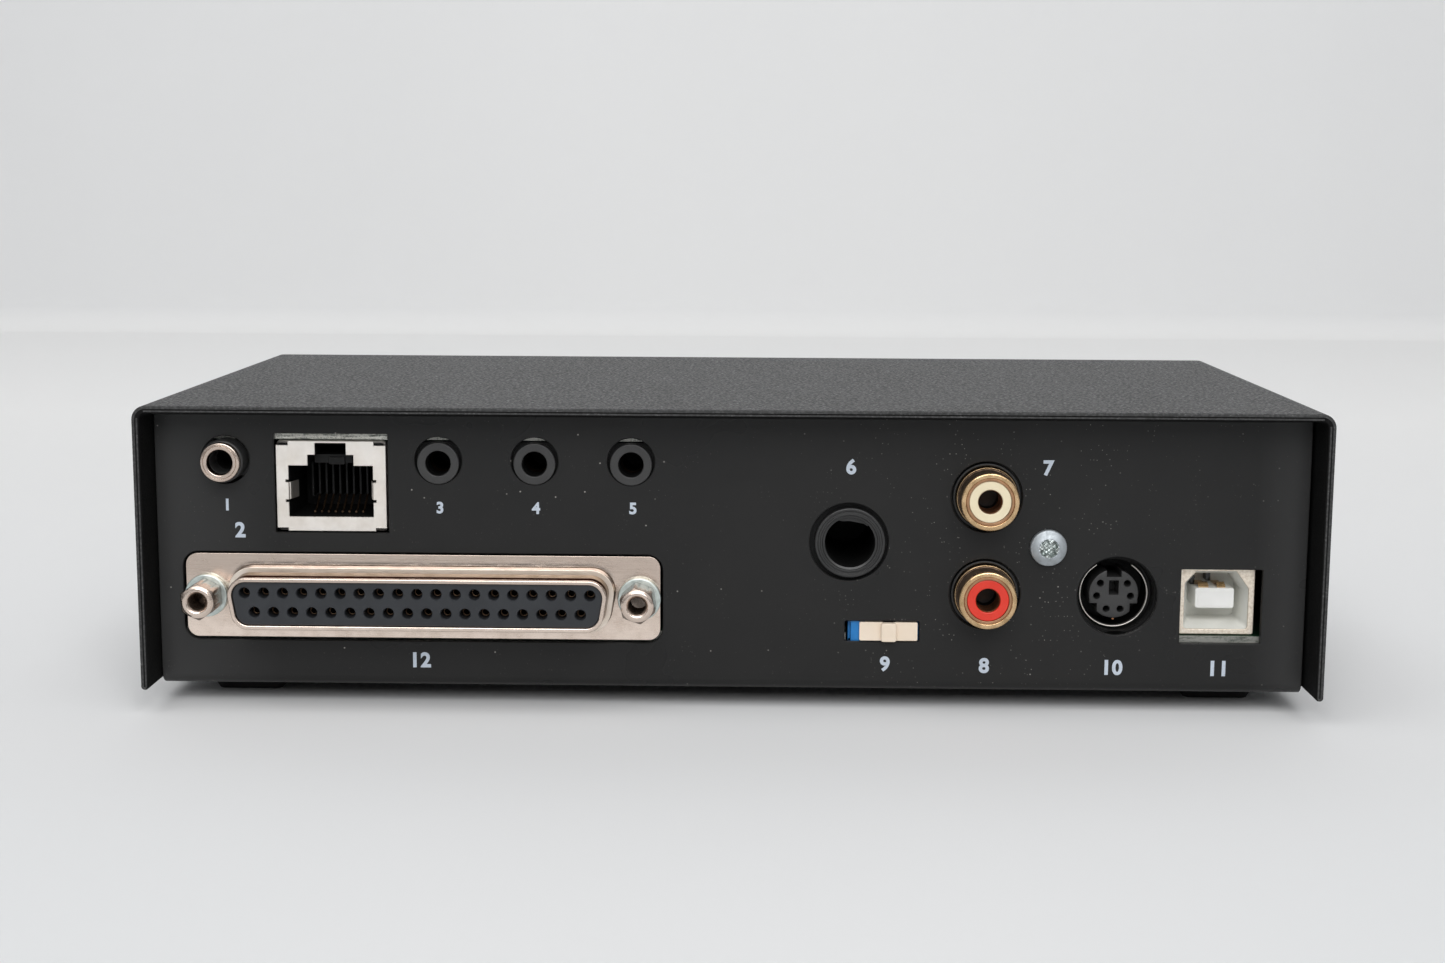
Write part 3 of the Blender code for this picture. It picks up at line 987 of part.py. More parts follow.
def make_phono_sockets(chassis):
    """Two stacked phono sockets in one housing, with the screw that holds it to the panel."""
    front = REAR_Y + BODY_SET
    housing = block("phono_housing", "black_plastic", about(RCA_X, RCA_WIDTH),
                    (front, front + RCA_DEPTH), (MAIN_TOP + SEAT, RCA_UPPER_Z + RCA_HEAD))
    screw_z = (RCA_LOWER_Z + RCA_UPPER_Z) / 2
    ear = block("phono_ear", None, (RCA_X, RCA_SCREW_X), (front, front + RCA_EAR_DEPTH),
                about(screw_z, 2 * RCA_EAR_RADIUS))
    ear_end = rod("phono_ear_end", None, RCA_EAR_RADIUS,
                  behind(RCA_SCREW_X, screw_z, BODY_SET + RCA_EAR_DEPTH), RCA_EAR_DEPTH, REARWARD)
    join(housing, ear, ear_end)
    screw_hole = SCREW_RADIUS + SEAT
    cut(chassis, hole("phono_screw_hole", screw_hole, RCA_SCREW_X, screw_z, SMALL_SIDES))
    cut(housing, rod("phono_ear_hole", None, screw_hole,
                     behind(RCA_SCREW_X, screw_z, BODY_SET + RCA_EAR_DEPTH + OVERRUN),
                     RCA_EAR_DEPTH + 2 * OVERRUN, REARWARD, SMALL_SIDES))
    pan_screw("phono_screw", "zinc_steel", behind(RCA_SCREW_X, screw_z, -SEAT), REARWARD, SCREW_LENGTH)
    for row, colour, z in (("upper", "white_plastic", RCA_UPPER_Z), ("lower", "red_plastic", RCA_LOWER_Z)):
        cut(chassis, hole(f"phono_hole_{row}", RCA_HOLE_RADIUS, RCA_X, z))
        root = BODY_SET + OVERRUN
        join(housing, rod(f"phono_boss_{row}", None, RCA_BOSS_RADIUS, behind(RCA_X, z, root),
                          root - RCA_BOSS_SET, REARWARD))
        bore_depth = RCA_SHELL_TAIL + SEAT
        cut(housing, rod(f"phono_bore_{row}", None, RCA_BASE_RADIUS + INSERT_GAP,
                         behind(RCA_X, z, bore_depth), bore_depth + OVERRUN, REARWARD))
        inner = RCA_SHELL_RADIUS - RCA_SHELL_WALL
        tip = RCA_PROUD
        profile = [(RCA_SHELL_RADIUS - RCA_LIP_ROUND, tip), (RCA_SHELL_RADIUS, tip - RCA_LIP_ROUND),
                   (RCA_SHELL_RADIUS, RCA_BASE_LENGTH), (RCA_BASE_RADIUS, RCA_BASE_LENGTH / 2),
                   (RCA_BASE_RADIUS, -RCA_SHELL_TAIL), (inner, -RCA_SHELL_TAIL), (inner, tip)]
        turned(f"phono_shell_{row}", "gold_plate", profile, behind(RCA_X, z, 0), REARWARD, closed=True)
        face = tip - RCA_CORE_SET
        core = [(0, face - RCA_BORE_DEPTH), (RCA_BORE_RADIUS, face - RCA_BORE_DEPTH),
                (RCA_BORE_RADIUS, face), (RCA_CORE_RADIUS, face),
                (inner - INSERT_GAP, face - RCA_CORE_SET), (inner - INSERT_GAP, -RCA_SHELL_TAIL),
                (0, -RCA_SHELL_TAIL)]
        turned(f"phono_insulator_{row}", colour, core, behind(RCA_X, z, 0), REARWARD)


def make_round_socket(chassis):
    """The six-way round socket: a body with a ring-shaped well, and an open metal ring in it."""
    cut(chassis, hole("din_hole", DIN_HOLE_RADIUS, DIN_X, DIN_Z))
    front = REAR_Y + BODY_SET
    body = block("remote_socket_body", "black_plastic", about(DIN_X, DIN_WIDTH),
                 (front, front + DIN_DEPTH), (MAIN_TOP + SEAT, DIN_Z + DIN_RISE))
    well_end = BODY_SET + DIN_WELL_DEPTH
    cut(body, tube("din_well", None, DIN_WELL_RADIUS, DIN_CORE_RADIUS,
                   behind(DIN_X, DIN_Z, well_end), DIN_WELL_DEPTH + OVERRUN, REARWARD))
    cut(body, rod("din_core_set", None, DIN_WELL_RADIUS, behind(DIN_X, DIN_Z, DIN_CORE_SET),
                  DIN_CORE_SET - BODY_SET + OVERRUN, REARWARD))
    key_centre = DIN_Z + DIN_KEY_LIFT
    cut(body, block("din_key", None, about(DIN_X, DIN_KEY_WIDTH),
                    (front, front + DIN_CORE_SET + DIN_PIN_DEPTH), about(key_centre, DIN_KEY_HEIGHT)))
    for number, angle in enumerate(DIN_PIN_ANGLES):
        x = DIN_X + DIN_PIN_CIRCLE * math.cos(angle)
        z = DIN_Z + DIN_PIN_CIRCLE * math.sin(angle)
        cut(body, rod(f"din_pin_{number + 1}", None, DIN_PIN_RADIUS,
                      behind(x, z, DIN_CORE_SET + DIN_PIN_DEPTH), DIN_PIN_DEPTH + OVERRUN, REARWARD,
                      SOCKET_SIDES))
    ring_foot = well_end - SEAT
    ring = tube("remote_socket_ring", "nickel", DIN_RING_RADIUS, DIN_RING_RADIUS - DIN_RING_WALL,
                behind(DIN_X, DIN_Z, ring_foot), ring_foot - DIN_RING_SET, REARWARD)
    half_gap = DIN_RING_RADIUS * math.sin(DIN_RING_OPENING / 2)
    cut(ring, block("din_ring_gap", None, about(DIN_X, 2 * half_gap),
                    (REAR_Y, REAR_Y + ring_foot + OVERRUN), (DIN_Z, DIN_Z + 2 * DIN_RING_RADIUS)))


def make_usb_socket(chassis):
    """The square USB socket, set back from the panel so that the board's edge shows below it."""
    left, right = about(USB_X, USB_WIDTH)
    low, high = about(USB_Z, USB_HEIGHT)
    cut(chassis, window("usb_hole", left - USB_HOLE_LEFT_GAP, right + USB_HOLE_RIGHT_GAP,
                        low - USB_HOLE_BOTTOM_GAP, high + USB_HOLE_TOP_GAP))
    start = REAR_Y + USB_SET
    shell = block("usb_shell", "nickel", (left, right), (start, start + USB_DEPTH), (low, high))
    half = USB_WIDTH / 2 - USB_LIP
    top = USB_HEIGHT / 2 - USB_LIP
    mouth = [(-half, -top), (half, -top), (half, top - USB_CHAMFER), (half - USB_CHAMFER, top),
             (USB_CHAMFER - half, top), (-half, top - USB_CHAMFER)]
    cut(shell, slab("usb_mouth", None, mouth, USB_X, USB_Z, USB_SET - OVERRUN, USB_SET + USB_MOUTH_DEPTH))
    base = [(across - math.copysign(SEAT, across), up - math.copysign(SEAT, up)) for across, up in mouth]
    base_end = USB_SET + USB_MOUTH_DEPTH - SEAT
    insulator = slab("usb_insulator", "white_plastic", base, USB_X, USB_Z, base_end - USB_BASE_SHEET,
                     base_end)
    tongue_start = REAR_Y + USB_SET + USB_TONGUE_SET
    join(insulator, block("usb_tongue", None, about(USB_X, USB_TONGUE_WIDTH),
                          (tongue_start, REAR_Y + base_end - USB_BASE_SHEET / 2),
                          about(USB_Z + USB_TONGUE_LIFT, USB_TONGUE_HEIGHT)))


def make_speed_control(chassis):
    """The potentiometer behind the front panel, its nut, its shaft and its knob."""
    inner_face = FRONT_Y - CHASSIS_SHEET - SEAT
    cut(chassis, rod("bush_hole", None, BUSH_RADIUS + SEAT,
                     (POT_X, FRONT_Y - CHASSIS_SHEET - OVERRUN, POT_Z), CHASSIS_SHEET + 2 * OVERRUN, FORWARD))
    body = block("speed_pot_body", "zinc_steel", about(POT_X, POT_WIDTH),
                 (inner_face - POT_DEPTH, inner_face), (MAIN_TOP + SEAT, POT_Z + POT_HEAD))
    join(body, rod("pot_bush", None, BUSH_RADIUS, (POT_X, inner_face - OVERRUN, POT_Z),
                   BUSH_LENGTH + OVERRUN, FORWARD))
    bore_foot = inner_face - SHAFT_TAIL - SEAT
    cut(body, rod("pot_bore", None, SHAFT_RADIUS + RUNNING_GAP, (POT_X, bore_foot, POT_Z),
                  SHAFT_TAIL + SEAT + BUSH_LENGTH + OVERRUN, FORWARD))
    nut_foot = FRONT_Y + SEAT
    nut = hexagon_rod("speed_pot_nut", "zinc_steel", NUT_FLATS, (POT_X, nut_foot, POT_Z), NUT_SHEET, FORWARD)
    cut(nut, rod("nut_bore", None, BUSH_RADIUS + SEAT, (POT_X, nut_foot - OVERRUN, POT_Z),
                 NUT_SHEET + 2 * OVERRUN, FORWARD))
    shaft_foot = inner_face - SHAFT_TAIL
    shaft_end = FRONT_Y + SHAFT_LENGTH
    shaft = rod("speed_pot_shaft", "zinc_steel", SHAFT_RADIUS, (POT_X, shaft_foot, POT_Z),
                shaft_end - shaft_foot, FORWARD)
    flat_z = POT_Z + SHAFT_RADIUS - SHAFT_FLAT
    cut(shaft, block("shaft_flat", None, about(POT_X, 2 * SHAFT_RADIUS + OVERRUN),
                     (shaft_end - SHAFT_FLAT_LENGTH, shaft_end + OVERRUN),
                     (flat_z, flat_z + 2 * SHAFT_RADIUS)))
    knob_foot = FRONT_Y + KNOB_START
    profile = [(0, KNOB_LENGTH), (KNOB_TOP_RADIUS - KNOB_ROUND, KNOB_LENGTH),
               (KNOB_TOP_RADIUS, KNOB_LENGTH - KNOB_ROUND), (KNOB_RADIUS, 0), (0, 0)]
    knob = turned("speed_knob", "black_plastic", profile, (POT_X, knob_foot, POT_Z), FORWARD,
                  3 * KNOB_FLUTES)
    for number in range(KNOB_FLUTES):
        angle = (number + 1 / 2) * 2 * math.pi / KNOB_FLUTES
        foot = (POT_X + KNOB_RADIUS * math.cos(angle), knob_foot + KNOB_FLUTE_START,
                POT_Z + KNOB_RADIUS * math.sin(angle))
        cut(knob, rod(f"knob_flute_{number + 1}", None, KNOB_FLUTE_RADIUS, foot, KNOB_LENGTH, FORWARD,
                      SOCKET_SIDES))
    bush_depth = FRONT_Y + BUSH_LENGTH - CHASSIS_SHEET + SEAT - knob_foot
    cut(knob, rod("knob_counterbore", None, BUSH_RADIUS + SEAT, (POT_X, knob_foot - OVERRUN, POT_Z),
                  bush_depth + OVERRUN, FORWARD))
    shaft_hole = SHAFT_LENGTH - KNOB_START + SEAT
    cut(knob, rod("knob_bore", None, SHAFT_RADIUS + SEAT, (POT_X, knob_foot - OVERRUN, POT_Z),
                  shaft_hole + OVERRUN, FORWARD))
    face = knob_foot + KNOB_LENGTH
    cut(knob, block("knob_mark", None, about(POT_X, KNOB_MARK_WIDTH),
                    (face - KNOB_MARK_DEPTH, face + OVERRUN),
                    (POT_Z + KNOB_TOP_RADIUS - KNOB_MARK_LENGTH, POT_Z + KNOB_RADIUS + OVERRUN)))


def make_lamps(chassis):
    """The status lamps in a row at the other end of the front panel."""
    for number in range(LAMP_COUNT):
        x = PANEL_LEFT + LAMP_INSET + number * LAMP_PITCH
        cut(chassis, rod(f"lamp_hole_{number + 1}", None, LAMP_RADIUS + SEAT,
                         (x, FRONT_Y - CHASSIS_SHEET - OVERRUN, POT_Z), CHASSIS_SHEET + 2 * OVERRUN,
                         FORWARD, SMALL_SIDES))
        back = -CHASSIS_SHEET - SEAT
        dome = [(LAMP_RADIUS * math.sin(step * math.pi / (2 * CORNER_STEPS)),
                 LAMP_PROUD - LAMP_RADIUS + LAMP_RADIUS * math.cos(step * math.pi / (2 * CORNER_STEPS)))
                for step in range(CORNER_STEPS + 1)]
        profile = dome + [(LAMP_RADIUS, back), (LAMP_FLANGE_RADIUS, back),
                          (LAMP_FLANGE_RADIUS, back - LAMP_FLANGE_LENGTH), (0, back - LAMP_TAIL)]
        turned(f"status_lamp_{number + 1}", "lamp_green", profile, (x, FRONT_Y, POT_Z), FORWARD,
               SMALL_SIDES)


def make_keyer():
    chassis = make_case()
    make_boards()
    make_board_parts()
    make_dsub(chassis)
    make_ext_mic(chassis)
    make_modular_socket(chassis)
    make_audio_jacks(chassis)
    make_paddle_jack(chassis)
    make_slide_switch(chassis)
    make_phono_sockets(chassis)
    make_round_socket(chassis)
    make_usb_socket(chassis)
    make_speed_control(chassis)
    make_lamps(chassis)


make_keyer()
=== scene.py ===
"""The looks of a desktop Morse keyer, seen from the connector panel at its rear.

Shapes are whole arrays in millimetres, put into meshes in metres. A point of a piece is first
(a, b, d): right and up in the plane of the face that it sits on, and out of it.
"""
import math

import bmesh
import bpy
import numpy as np
from mathutils import Matrix, Vector, geometry


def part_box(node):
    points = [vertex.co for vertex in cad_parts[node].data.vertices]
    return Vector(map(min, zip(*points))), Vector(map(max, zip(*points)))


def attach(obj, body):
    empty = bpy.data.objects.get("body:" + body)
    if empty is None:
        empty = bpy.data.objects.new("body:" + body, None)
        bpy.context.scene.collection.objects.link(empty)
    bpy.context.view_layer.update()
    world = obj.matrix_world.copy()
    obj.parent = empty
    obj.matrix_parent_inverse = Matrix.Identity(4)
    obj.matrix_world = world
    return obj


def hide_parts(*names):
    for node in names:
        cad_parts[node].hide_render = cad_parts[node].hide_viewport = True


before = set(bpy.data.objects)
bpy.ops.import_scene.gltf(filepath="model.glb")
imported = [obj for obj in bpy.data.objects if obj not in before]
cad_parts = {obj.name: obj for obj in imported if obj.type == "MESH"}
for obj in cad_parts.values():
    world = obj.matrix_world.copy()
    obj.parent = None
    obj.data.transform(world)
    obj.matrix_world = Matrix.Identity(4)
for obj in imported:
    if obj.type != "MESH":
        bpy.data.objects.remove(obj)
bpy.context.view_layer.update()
MM = 0.001

REARWARD = ((1, 0, 0), (0, 0, 1), (0, -1, 0))
FORWARD = ((-1, 0, 0), (0, 0, 1), (0, 1, 0))
RIGHTWARD = ((0, 1, 0), (0, 0, 1), (1, 0, 0))
LEFTWARD = ((0, -1, 0), (0, 0, 1), (-1, 0, 0))
UPWARD = ((1, 0, 0), (0, 1, 0), (0, 0, 1))
DOWNWARD = ((1, 0, 0), (0, -1, 0), (0, 0, -1))


def extent(node):
    """A CAD node's lowest and highest corner in millimetres."""
    low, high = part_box(node)
    return np.array(low) / MM, np.array(high) / MM


def middle(node):
    low, high = extent(node)
    return (low + high) / 2


PANEL_Y = extent("base_chassis")[0][1]
FRONT_Y = extent("base_chassis")[1][1]


def seat(origin, facing):
    """Where a piece sits: its origin, and the directions of a, b and d."""
    return np.asarray(origin, float), np.asarray(facing, float)


def on_rear(x, z, ahead=0.0):
    return seat((x, PANEL_Y + ahead, z), REARWARD)


def on_front(x, z):
    return seat((x, FRONT_Y, z), FORWARD)


LEVEL = seat((0, 0, 0), UPWARD)
SHEET = 1.1
COVER_DROP, TRAY_DROP = 0.25, 0.5       # how far the photographed lower edges lie below the CAD's
CREASE = math.radians(38)
DSUB = middle("dsub_shell")[[0, 2]] - (0, 0.22)
DSUB_SIZE = (55.7, 7.62)
FLANGE = (69.6, 12.42)
FLANGE_BACK = -0.9
BORE_A = 31.75                          # from the connector's middle to each jackscrew
SOCKET_PITCH, SOCKET_ROW = 2.77, 1.42
WIRE_PITCH = 1.016
EXT_MIC = middle("ext_mic_ring")[[0, 2]]
AUDIO_JACKS = ("line_output_jack", "line_input_jack", "microphone_jack")
PHONO = [middle(node)[[0, 2]] for node in ("phono_shell_upper", "phono_shell_lower")]
PHONO_SCREW = middle("phono_screw")[[0, 2]] + (0.2, -0.12)
REMOTE = extent("remote_socket_ring")[0][[0, 2]] + (5.41, 4.89)
PADDLE = np.array([middle("paddle_jack")[0], extent("paddle_jack")[0][2] + 8.0])
SWITCH_Z = 11.8
SPEED = middle("speed_knob")[[0, 2]]
LAMPS = [middle(f"status_lamp_{number}")[0] for number in (1, 2, 3)]


# Lines and outlines


def unit(vectors):
    return vectors / np.maximum(np.linalg.norm(vectors, axis=-1, keepdims=True), 1e-12)


def eased(corners, radius=0.0, steps=5, closed=True):
    """A line with an arc at each corner, and its outward normals.

    Between sides towards unit vectors b and a, 2h apart, an arc starts r / tan h along each, about
    the centre r / sin h up the bisector. With s = pi - 2h its points are
    (sin((1 - t) s) S + sin(t s) E) / sin s, where S and E lead from the centre to its ends, and its
    normals turn alike. A sharp corner gets the mitre (m + n) / (1 + m.n). A point a little beyond
    each arc keeps the flat side flat.
    """
    points = np.asarray(corners, float)
    radii = np.broadcast_to(np.asarray(radius, float), (len(points),)).copy()
    back = np.roll(points, 1, 0) - points
    ahead = np.roll(points, -1, 0) - points
    if not closed:
        back[0] = -ahead[0]
        ahead[-1] = -back[-1]
        radii[[0, -1]] = 0
    lengths = np.minimum(np.linalg.norm(back, axis=1), np.linalg.norm(ahead, axis=1))
    b, a = unit(back), unit(ahead)
    half = np.arccos(np.clip((a * b).sum(1), -1, 1)) / 2
    reach = np.minimum(radii / np.tan(half), 0.46 * lengths)
    used = (reach * np.tan(half))[:, None]
    centre = points + unit(a + b) * used / np.sin(half)[:, None]
    start = (points + b * reach[:, None] - centre)[:, None]
    end = (points + a * reach[:, None] - centre)[:, None]
    t = np.linspace(0, 1, steps + 1)[None]
    turn = (np.pi - 2 * half)[:, None]
    bent = turn > 1e-6
    sine = np.where(bent, np.sin(turn), 1)
    first = np.where(bent, np.sin((1 - t) * turn) / sine, 1 - t)[..., None]
    last = np.where(bent, np.sin(t * turn) / sine, t)[..., None]
    m = np.stack([-b[:, 1], b[:, 0]], 1)
    n = np.stack([a[:, 1], -a[:, 0]], 1)
    mitre = ((m + n) / (1 + (m * n).sum(1, keepdims=True)))[:, None]
    sharp = (radii == 0)[:, None, None]
    m, n = m[:, None], n[:, None]
    guard = np.where(radii > 0, reach + 0.02 * lengths, 0)[:, None]
    line = [(points + b * guard)[:, None], centre[:, None] + first * start + last * end,
            (points + a * guard)[:, None]]
    normal = [np.where(sharp, mitre, way) for way in (m, first * m + last * n, n)]
    return np.concatenate(line, 1).reshape(-1, 2), np.concatenate(normal, 1).reshape(-1, 2)


def section(corners, radius=0.0, steps=4, closed=False):
    """A profile alone: (offset, d) pairs up the outer side, in over the face and down a bore."""
    return eased(corners, radius, steps, closed)[0]


def rectangle(width, height, centre=(0, 0)):
    """Four corners, anticlockwise from the lower left one."""
    signs = np.array([(-1, -1), (1, -1), (1, 1), (-1, 1)])
    return signs * (width / 2, height / 2) + centre


def full_turn(count):
    return np.linspace(0, 2 * np.pi, count, endpoint=False)


def circle(count=64, radius=0.0, centre=(0, 0)):
    """Points radius times (cos t, sin t) about a centre, with the same as their normals."""
    around = np.stack([np.cos(full_turn(count)), np.sin(full_turn(count))], 1)
    return np.asarray(centre, float) + radius * around, around


def carried(outline, profile):
    """A profile of (offset, d) carried round an outline: point + offset * normal, at height d."""
    line, normal = outline
    profile = np.asarray(profile, float)
    spread = line[None] + profile[:, None, :1] * normal[None]
    height = np.broadcast_to(profile[:, None, 1:], spread.shape[:2] + (1,))
    return np.concatenate([spread, height], 2)


def offset(outline, distance):
    return outline[0] + distance * outline[1]


def grid_of(a, b, d):
    """Rows and columns of points from an array of each coordinate."""
    return np.stack(np.broadcast_arrays(a, b, d), 2)


def polar(radius, turn, height):
    return grid_of(radius * np.cos(turn), radius * np.sin(turn), height)


# Gathering surfaces into pieces


def set_up(made, **settings):
    for setting, value in settings.items():
        setattr(made, setting, value)
    return made


def placed(name, data):
    """A new object in the scene."""
    item = bpy.data.objects.new(name, data)
    bpy.context.scene.collection.objects.link(item)
    return item


def worked(item):
    """The points and faces of an object's worked-out shape."""
    bpy.context.view_layer.update()
    mesh = bpy.data.meshes.new_from_object(item.evaluated_get(bpy.context.evaluated_depsgraph_get()))
    points = np.empty(len(mesh.vertices) * 3)
    mesh.vertices.foreach_get("co", points)
    return points.reshape(-1, 3), [list(polygon.vertices) for polygon in mesh.polygons]


class Piece:
    """One visible piece: its surfaces, on its seat unless another is given, put into one mesh."""

    def __init__(self, name, place=LEVEL):
        self.name = name
        self.place = place
        self.points, self.faces, self.paints = [], [], []
        self.total = 0

    def loose(self, points, faces, paint=0, place=None):
        """Points in a, b and d, with faces as lists of their numbers."""
        origin, facing = place or self.place
        self.points.append(np.asarray(points, float) @ facing + origin)
        self.faces += [[corner + self.total for corner in face] for face in faces]
        self.paints.append(np.full(len(faces), paint))
        self.total += len(points)

    def patch(self, grid, ring=True, looped=False, foot=False, end=False, **where):
        """A grid of points, joined into squares: ring closes each row, looped the rows."""
        rows, columns = grid.shape[:2]
        index = np.arange(rows * columns).reshape(rows, columns)
        caps = [index[0, ::-1].tolist()] * foot + [index[-1].tolist()] * end
        if looped:
            index = np.vstack([index, index[:1]])
        if ring:
            index = np.hstack([index, index[:, :1]])
        squares = np.stack([index[:-1, :-1], index[:-1, 1:], index[1:, 1:], index[1:, :-1]], -1)
        self.loose(grid.reshape(-1, 3), squares.reshape(-1, 4).tolist() + caps, **where)

    def wrap(self, outline, corners, radii=None, steps=4, looped=False, **rest):
        """A profile carried round an outline, its corners eased first where radii are given."""
        profile = corners if radii is None else section(corners, radii, steps, looped)
        self.patch(carried(outline, profile), looped=looped, **rest)

    def turned(self, corners, radii=None, steps=4, count=64, **rest):
        """A profile turned about the seat's d: (r cos t, r sin t, d)."""
        self.wrap(circle(count), corners, radii, steps, **rest)

    def face(self, loops, depth, toward=1, **where):
        """The flat face inside the first loop and outside the others.

        Of the triangles that fill the loops, those are kept from whose middle a line towards +a
        crosses the loops an odd number of times.
        """
        kept = [np.asarray(loop)[np.linalg.norm(np.roll(loop, -1, 0) - loop, axis=1) > 1e-4]
                for loop in loops]
        starts = np.cumsum([0] + [len(loop) for loop in kept])
        edges = np.vstack([np.stack([np.arange(len(loop)), np.roll(np.arange(len(loop)), -1)], 1) + first
                           for loop, first in zip(kept, starts)])
        corners = np.vstack(kept)
        found = geometry.delaunay_2d_cdt(list(map(Vector, corners)), edges.tolist(), [], 0, 1e-5)
        flat = np.array(list(map(tuple, found[0])))
        triangles = np.array(found[2])
        spot = flat[triangles].mean(1)[:, None]
        p, q = corners[edges[:, 0]][None], corners[edges[:, 1]][None]
        rise = np.where(p[..., 1] == q[..., 1], 1, q[..., 1] - p[..., 1])
        crossing = p[..., 0] + (q[..., 0] - p[..., 0]) * (spot[..., 1] - p[..., 1]) / rise
        across = ((p[..., 1] > spot[..., 1]) != (q[..., 1] > spot[..., 1])) & (spot[..., 0] < crossing)
        triangles = triangles[across.sum(1) % 2 == 1][:, ::toward]
        self.loose(np.column_stack([flat, np.full(len(flat), depth)]), triangles.tolist(), **where)

    def bar(self, width, height, foot, end, corner=0.2, edge=0.12, centre=(0, 0), holes=(), **where):
        """A block with eased corners and edges from one height d to another, its face pierced or not."""
        outline = eased(rectangle(width, height, centre), max(corner, 2 * edge), 4)
        profile = [(-edge * 2, foot), (0, foot), (0, end), (-edge * 2, end)]
        self.wrap(outline, profile, edge, 3, foot=True, end=not holes, **where)
        if holes:
            self.face([offset(outline, -2 * edge), *holes], end, **where)

    def mesh(self):
        """One mesh in metres, with points that lie on each other made one."""
        made = bpy.data.meshes.new(self.name)
        made.from_pydata(np.vstack(self.points) * MM, [], self.faces)
        made.polygons.foreach_set("material_index", np.concatenate(self.paints).astype(np.int32))
        work = bmesh.new()
        work.from_mesh(made)
        bmesh.ops.remove_doubles(work, verts=work.verts, dist=0.0015 * MM)
        work.to_mesh(made)
        work.free()
        return made

    def done(self, slot, replaced, *finishes, body="case", mesh=None):
        """Puts the piece in the scene on its body, in its finishes, in place of a CAD node."""
        made = mesh or self.mesh()
        made.shade_smooth()
        made.set_sharp_from_angle(angle=CREASE)
        for finish in finishes:
            made.materials.append(finish)
        item = placed(self.name, made)
        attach(item, body)
        if replaced:
            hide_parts(replaced)


# Finishes


class Pattern:
    """Shader nodes laid in a tree, one by one."""

    def __init__(self, tree):
        self.tree = tree

    def step(self, kind, inputs, **settings):
        node = set_up(self.tree.nodes.new(kind), **settings)
        for socket, value in inputs.items():
            if isinstance(value, bpy.types.NodeSocket):
                self.tree.links.new(value, node.inputs[socket])
            else:
                node.inputs[socket].default_value = value
        return node.outputs

    def span(self, value, low, high, start=0.0, end=1.0):
        """The value's range from low to high, laid on start to end."""
        return self.step("ShaderNodeMapRange", {0: value, 1: low, 2: high, 3: start, 4: end})[0]

    def sum(self, first, second, operation="ADD"):
        return self.step("ShaderNodeMath", {0: first, 1: second}, operation=operation)[0]

    def times(self, first, second):
        return self.sum(first, second, "MULTIPLY")

    def higher(self, first, second):
        return self.sum(first, second, "MAXIMUM")


class Finish(Pattern):
    """A material mixed from patterns on Object coordinates, in millimetres."""

    def __init__(self, name, metallic=0.0, **fixed):
        self.material = bpy.data.materials.new(name)
        self.material.use_nodes = True
        super().__init__(self.material.node_tree)
        self.shader = self.tree.nodes["Principled BSDF"].inputs
        for socket, value in {"Metallic": metallic, **fixed}.items():
            self.shader[socket.replace("_", " ")].default_value = value
        self.spot = self.step("ShaderNodeTexCoord", {})["Object"]

    def laid(self, stretch=(1, 1, 1), turn=(0, 0, 0)):
        """Object coordinates in millimetres, stretched and turned."""
        return self.step("ShaderNodeMapping", {"Vector": self.spot, "Rotation": turn,
                                               "Scale": [share / MM for share in stretch]})[0]

    def grain(self, size, detail=3.0, stretch=(1, 1, 1), rough=0.55):
        """Cloudy noise with spots of a size in millimetres."""
        return self.step("ShaderNodeTexNoise", {"Vector": self.laid(stretch), "Scale": 1 / size,
                                                "Detail": detail, "Roughness": rough})[0]

    def cells(self, size, turn=(0, 0, 0), **settings):
        return self.step("ShaderNodeTexVoronoi", {"Vector": self.laid(turn=turn), "Scale": 1 / size},
                         **settings)

    def specks(self, apart, small, large, share):
        """Dots on upright faces along X: 1 near some of the points scattered over X and Z."""
        scattered = self.cells(apart, (math.pi / 2, 0, 0), voronoi_dimensions="2D")
        return self.times(self.span(scattered["Distance"], small / apart, large / apart, 1.0, 0.0),
                          self.span(scattered["Color"], share, share + 0.08, 1.0, 0.0))

    def axis(self, name):
        """One Object coordinate in millimetres."""
        return self.step("ShaderNodeSeparateXYZ", {0: self.laid()})[name]

    def away(self, name, centre):
        """How far one coordinate is from a centre."""
        return self.sum(self.sum(self.axis(name), -centre), 0.0, "ABSOLUTE")

    def mixed(self, share, *colours):
        first, second = [colour if isinstance(colour, bpy.types.NodeSocket) else (*colour, 1)
                         for colour in colours]
        return self.step("ShaderNodeMix", {0: share, 6: first, 7: second}, data_type="RGBA")[2]

    def give(self, colour, roughness=None, height=None, depth=0.01, strength=1.0):
        """Leads a colour, a roughness and a relief of a depth in millimetres to the shader."""
        self.tree.links.new(colour, self.shader["Base Color"])
        if roughness is not None:
            self.tree.links.new(roughness, self.shader["Roughness"])
        if height is not None:
            relief = self.step("ShaderNodeBump", {"Strength": strength, "Distance": depth * MM,
                                                  "Height": height})
            self.tree.links.new(relief[0], self.shader["Normal"])
        return self.material


def grey(value, warm=0.0):
    """A near-neutral colour, warmer when the second number is above 0."""
    return value * (1 + warm), value, value * (1 - warm)


def moulded(name, dark, light, roughness, grain=0.5, relief=0.004, **fixed):
    """Moulded plastic or rubber: cloudy colour between two shades, and a fine skin."""
    made = Finish(name, **fixed)
    skin = made.grain(grain)
    return made.give(made.mixed(made.span(made.grain(4.0), 0.3, 0.7), dark, light),
                     made.span(skin, 0.3, 0.7, roughness - 0.06, roughness + 0.08), skin, relief)


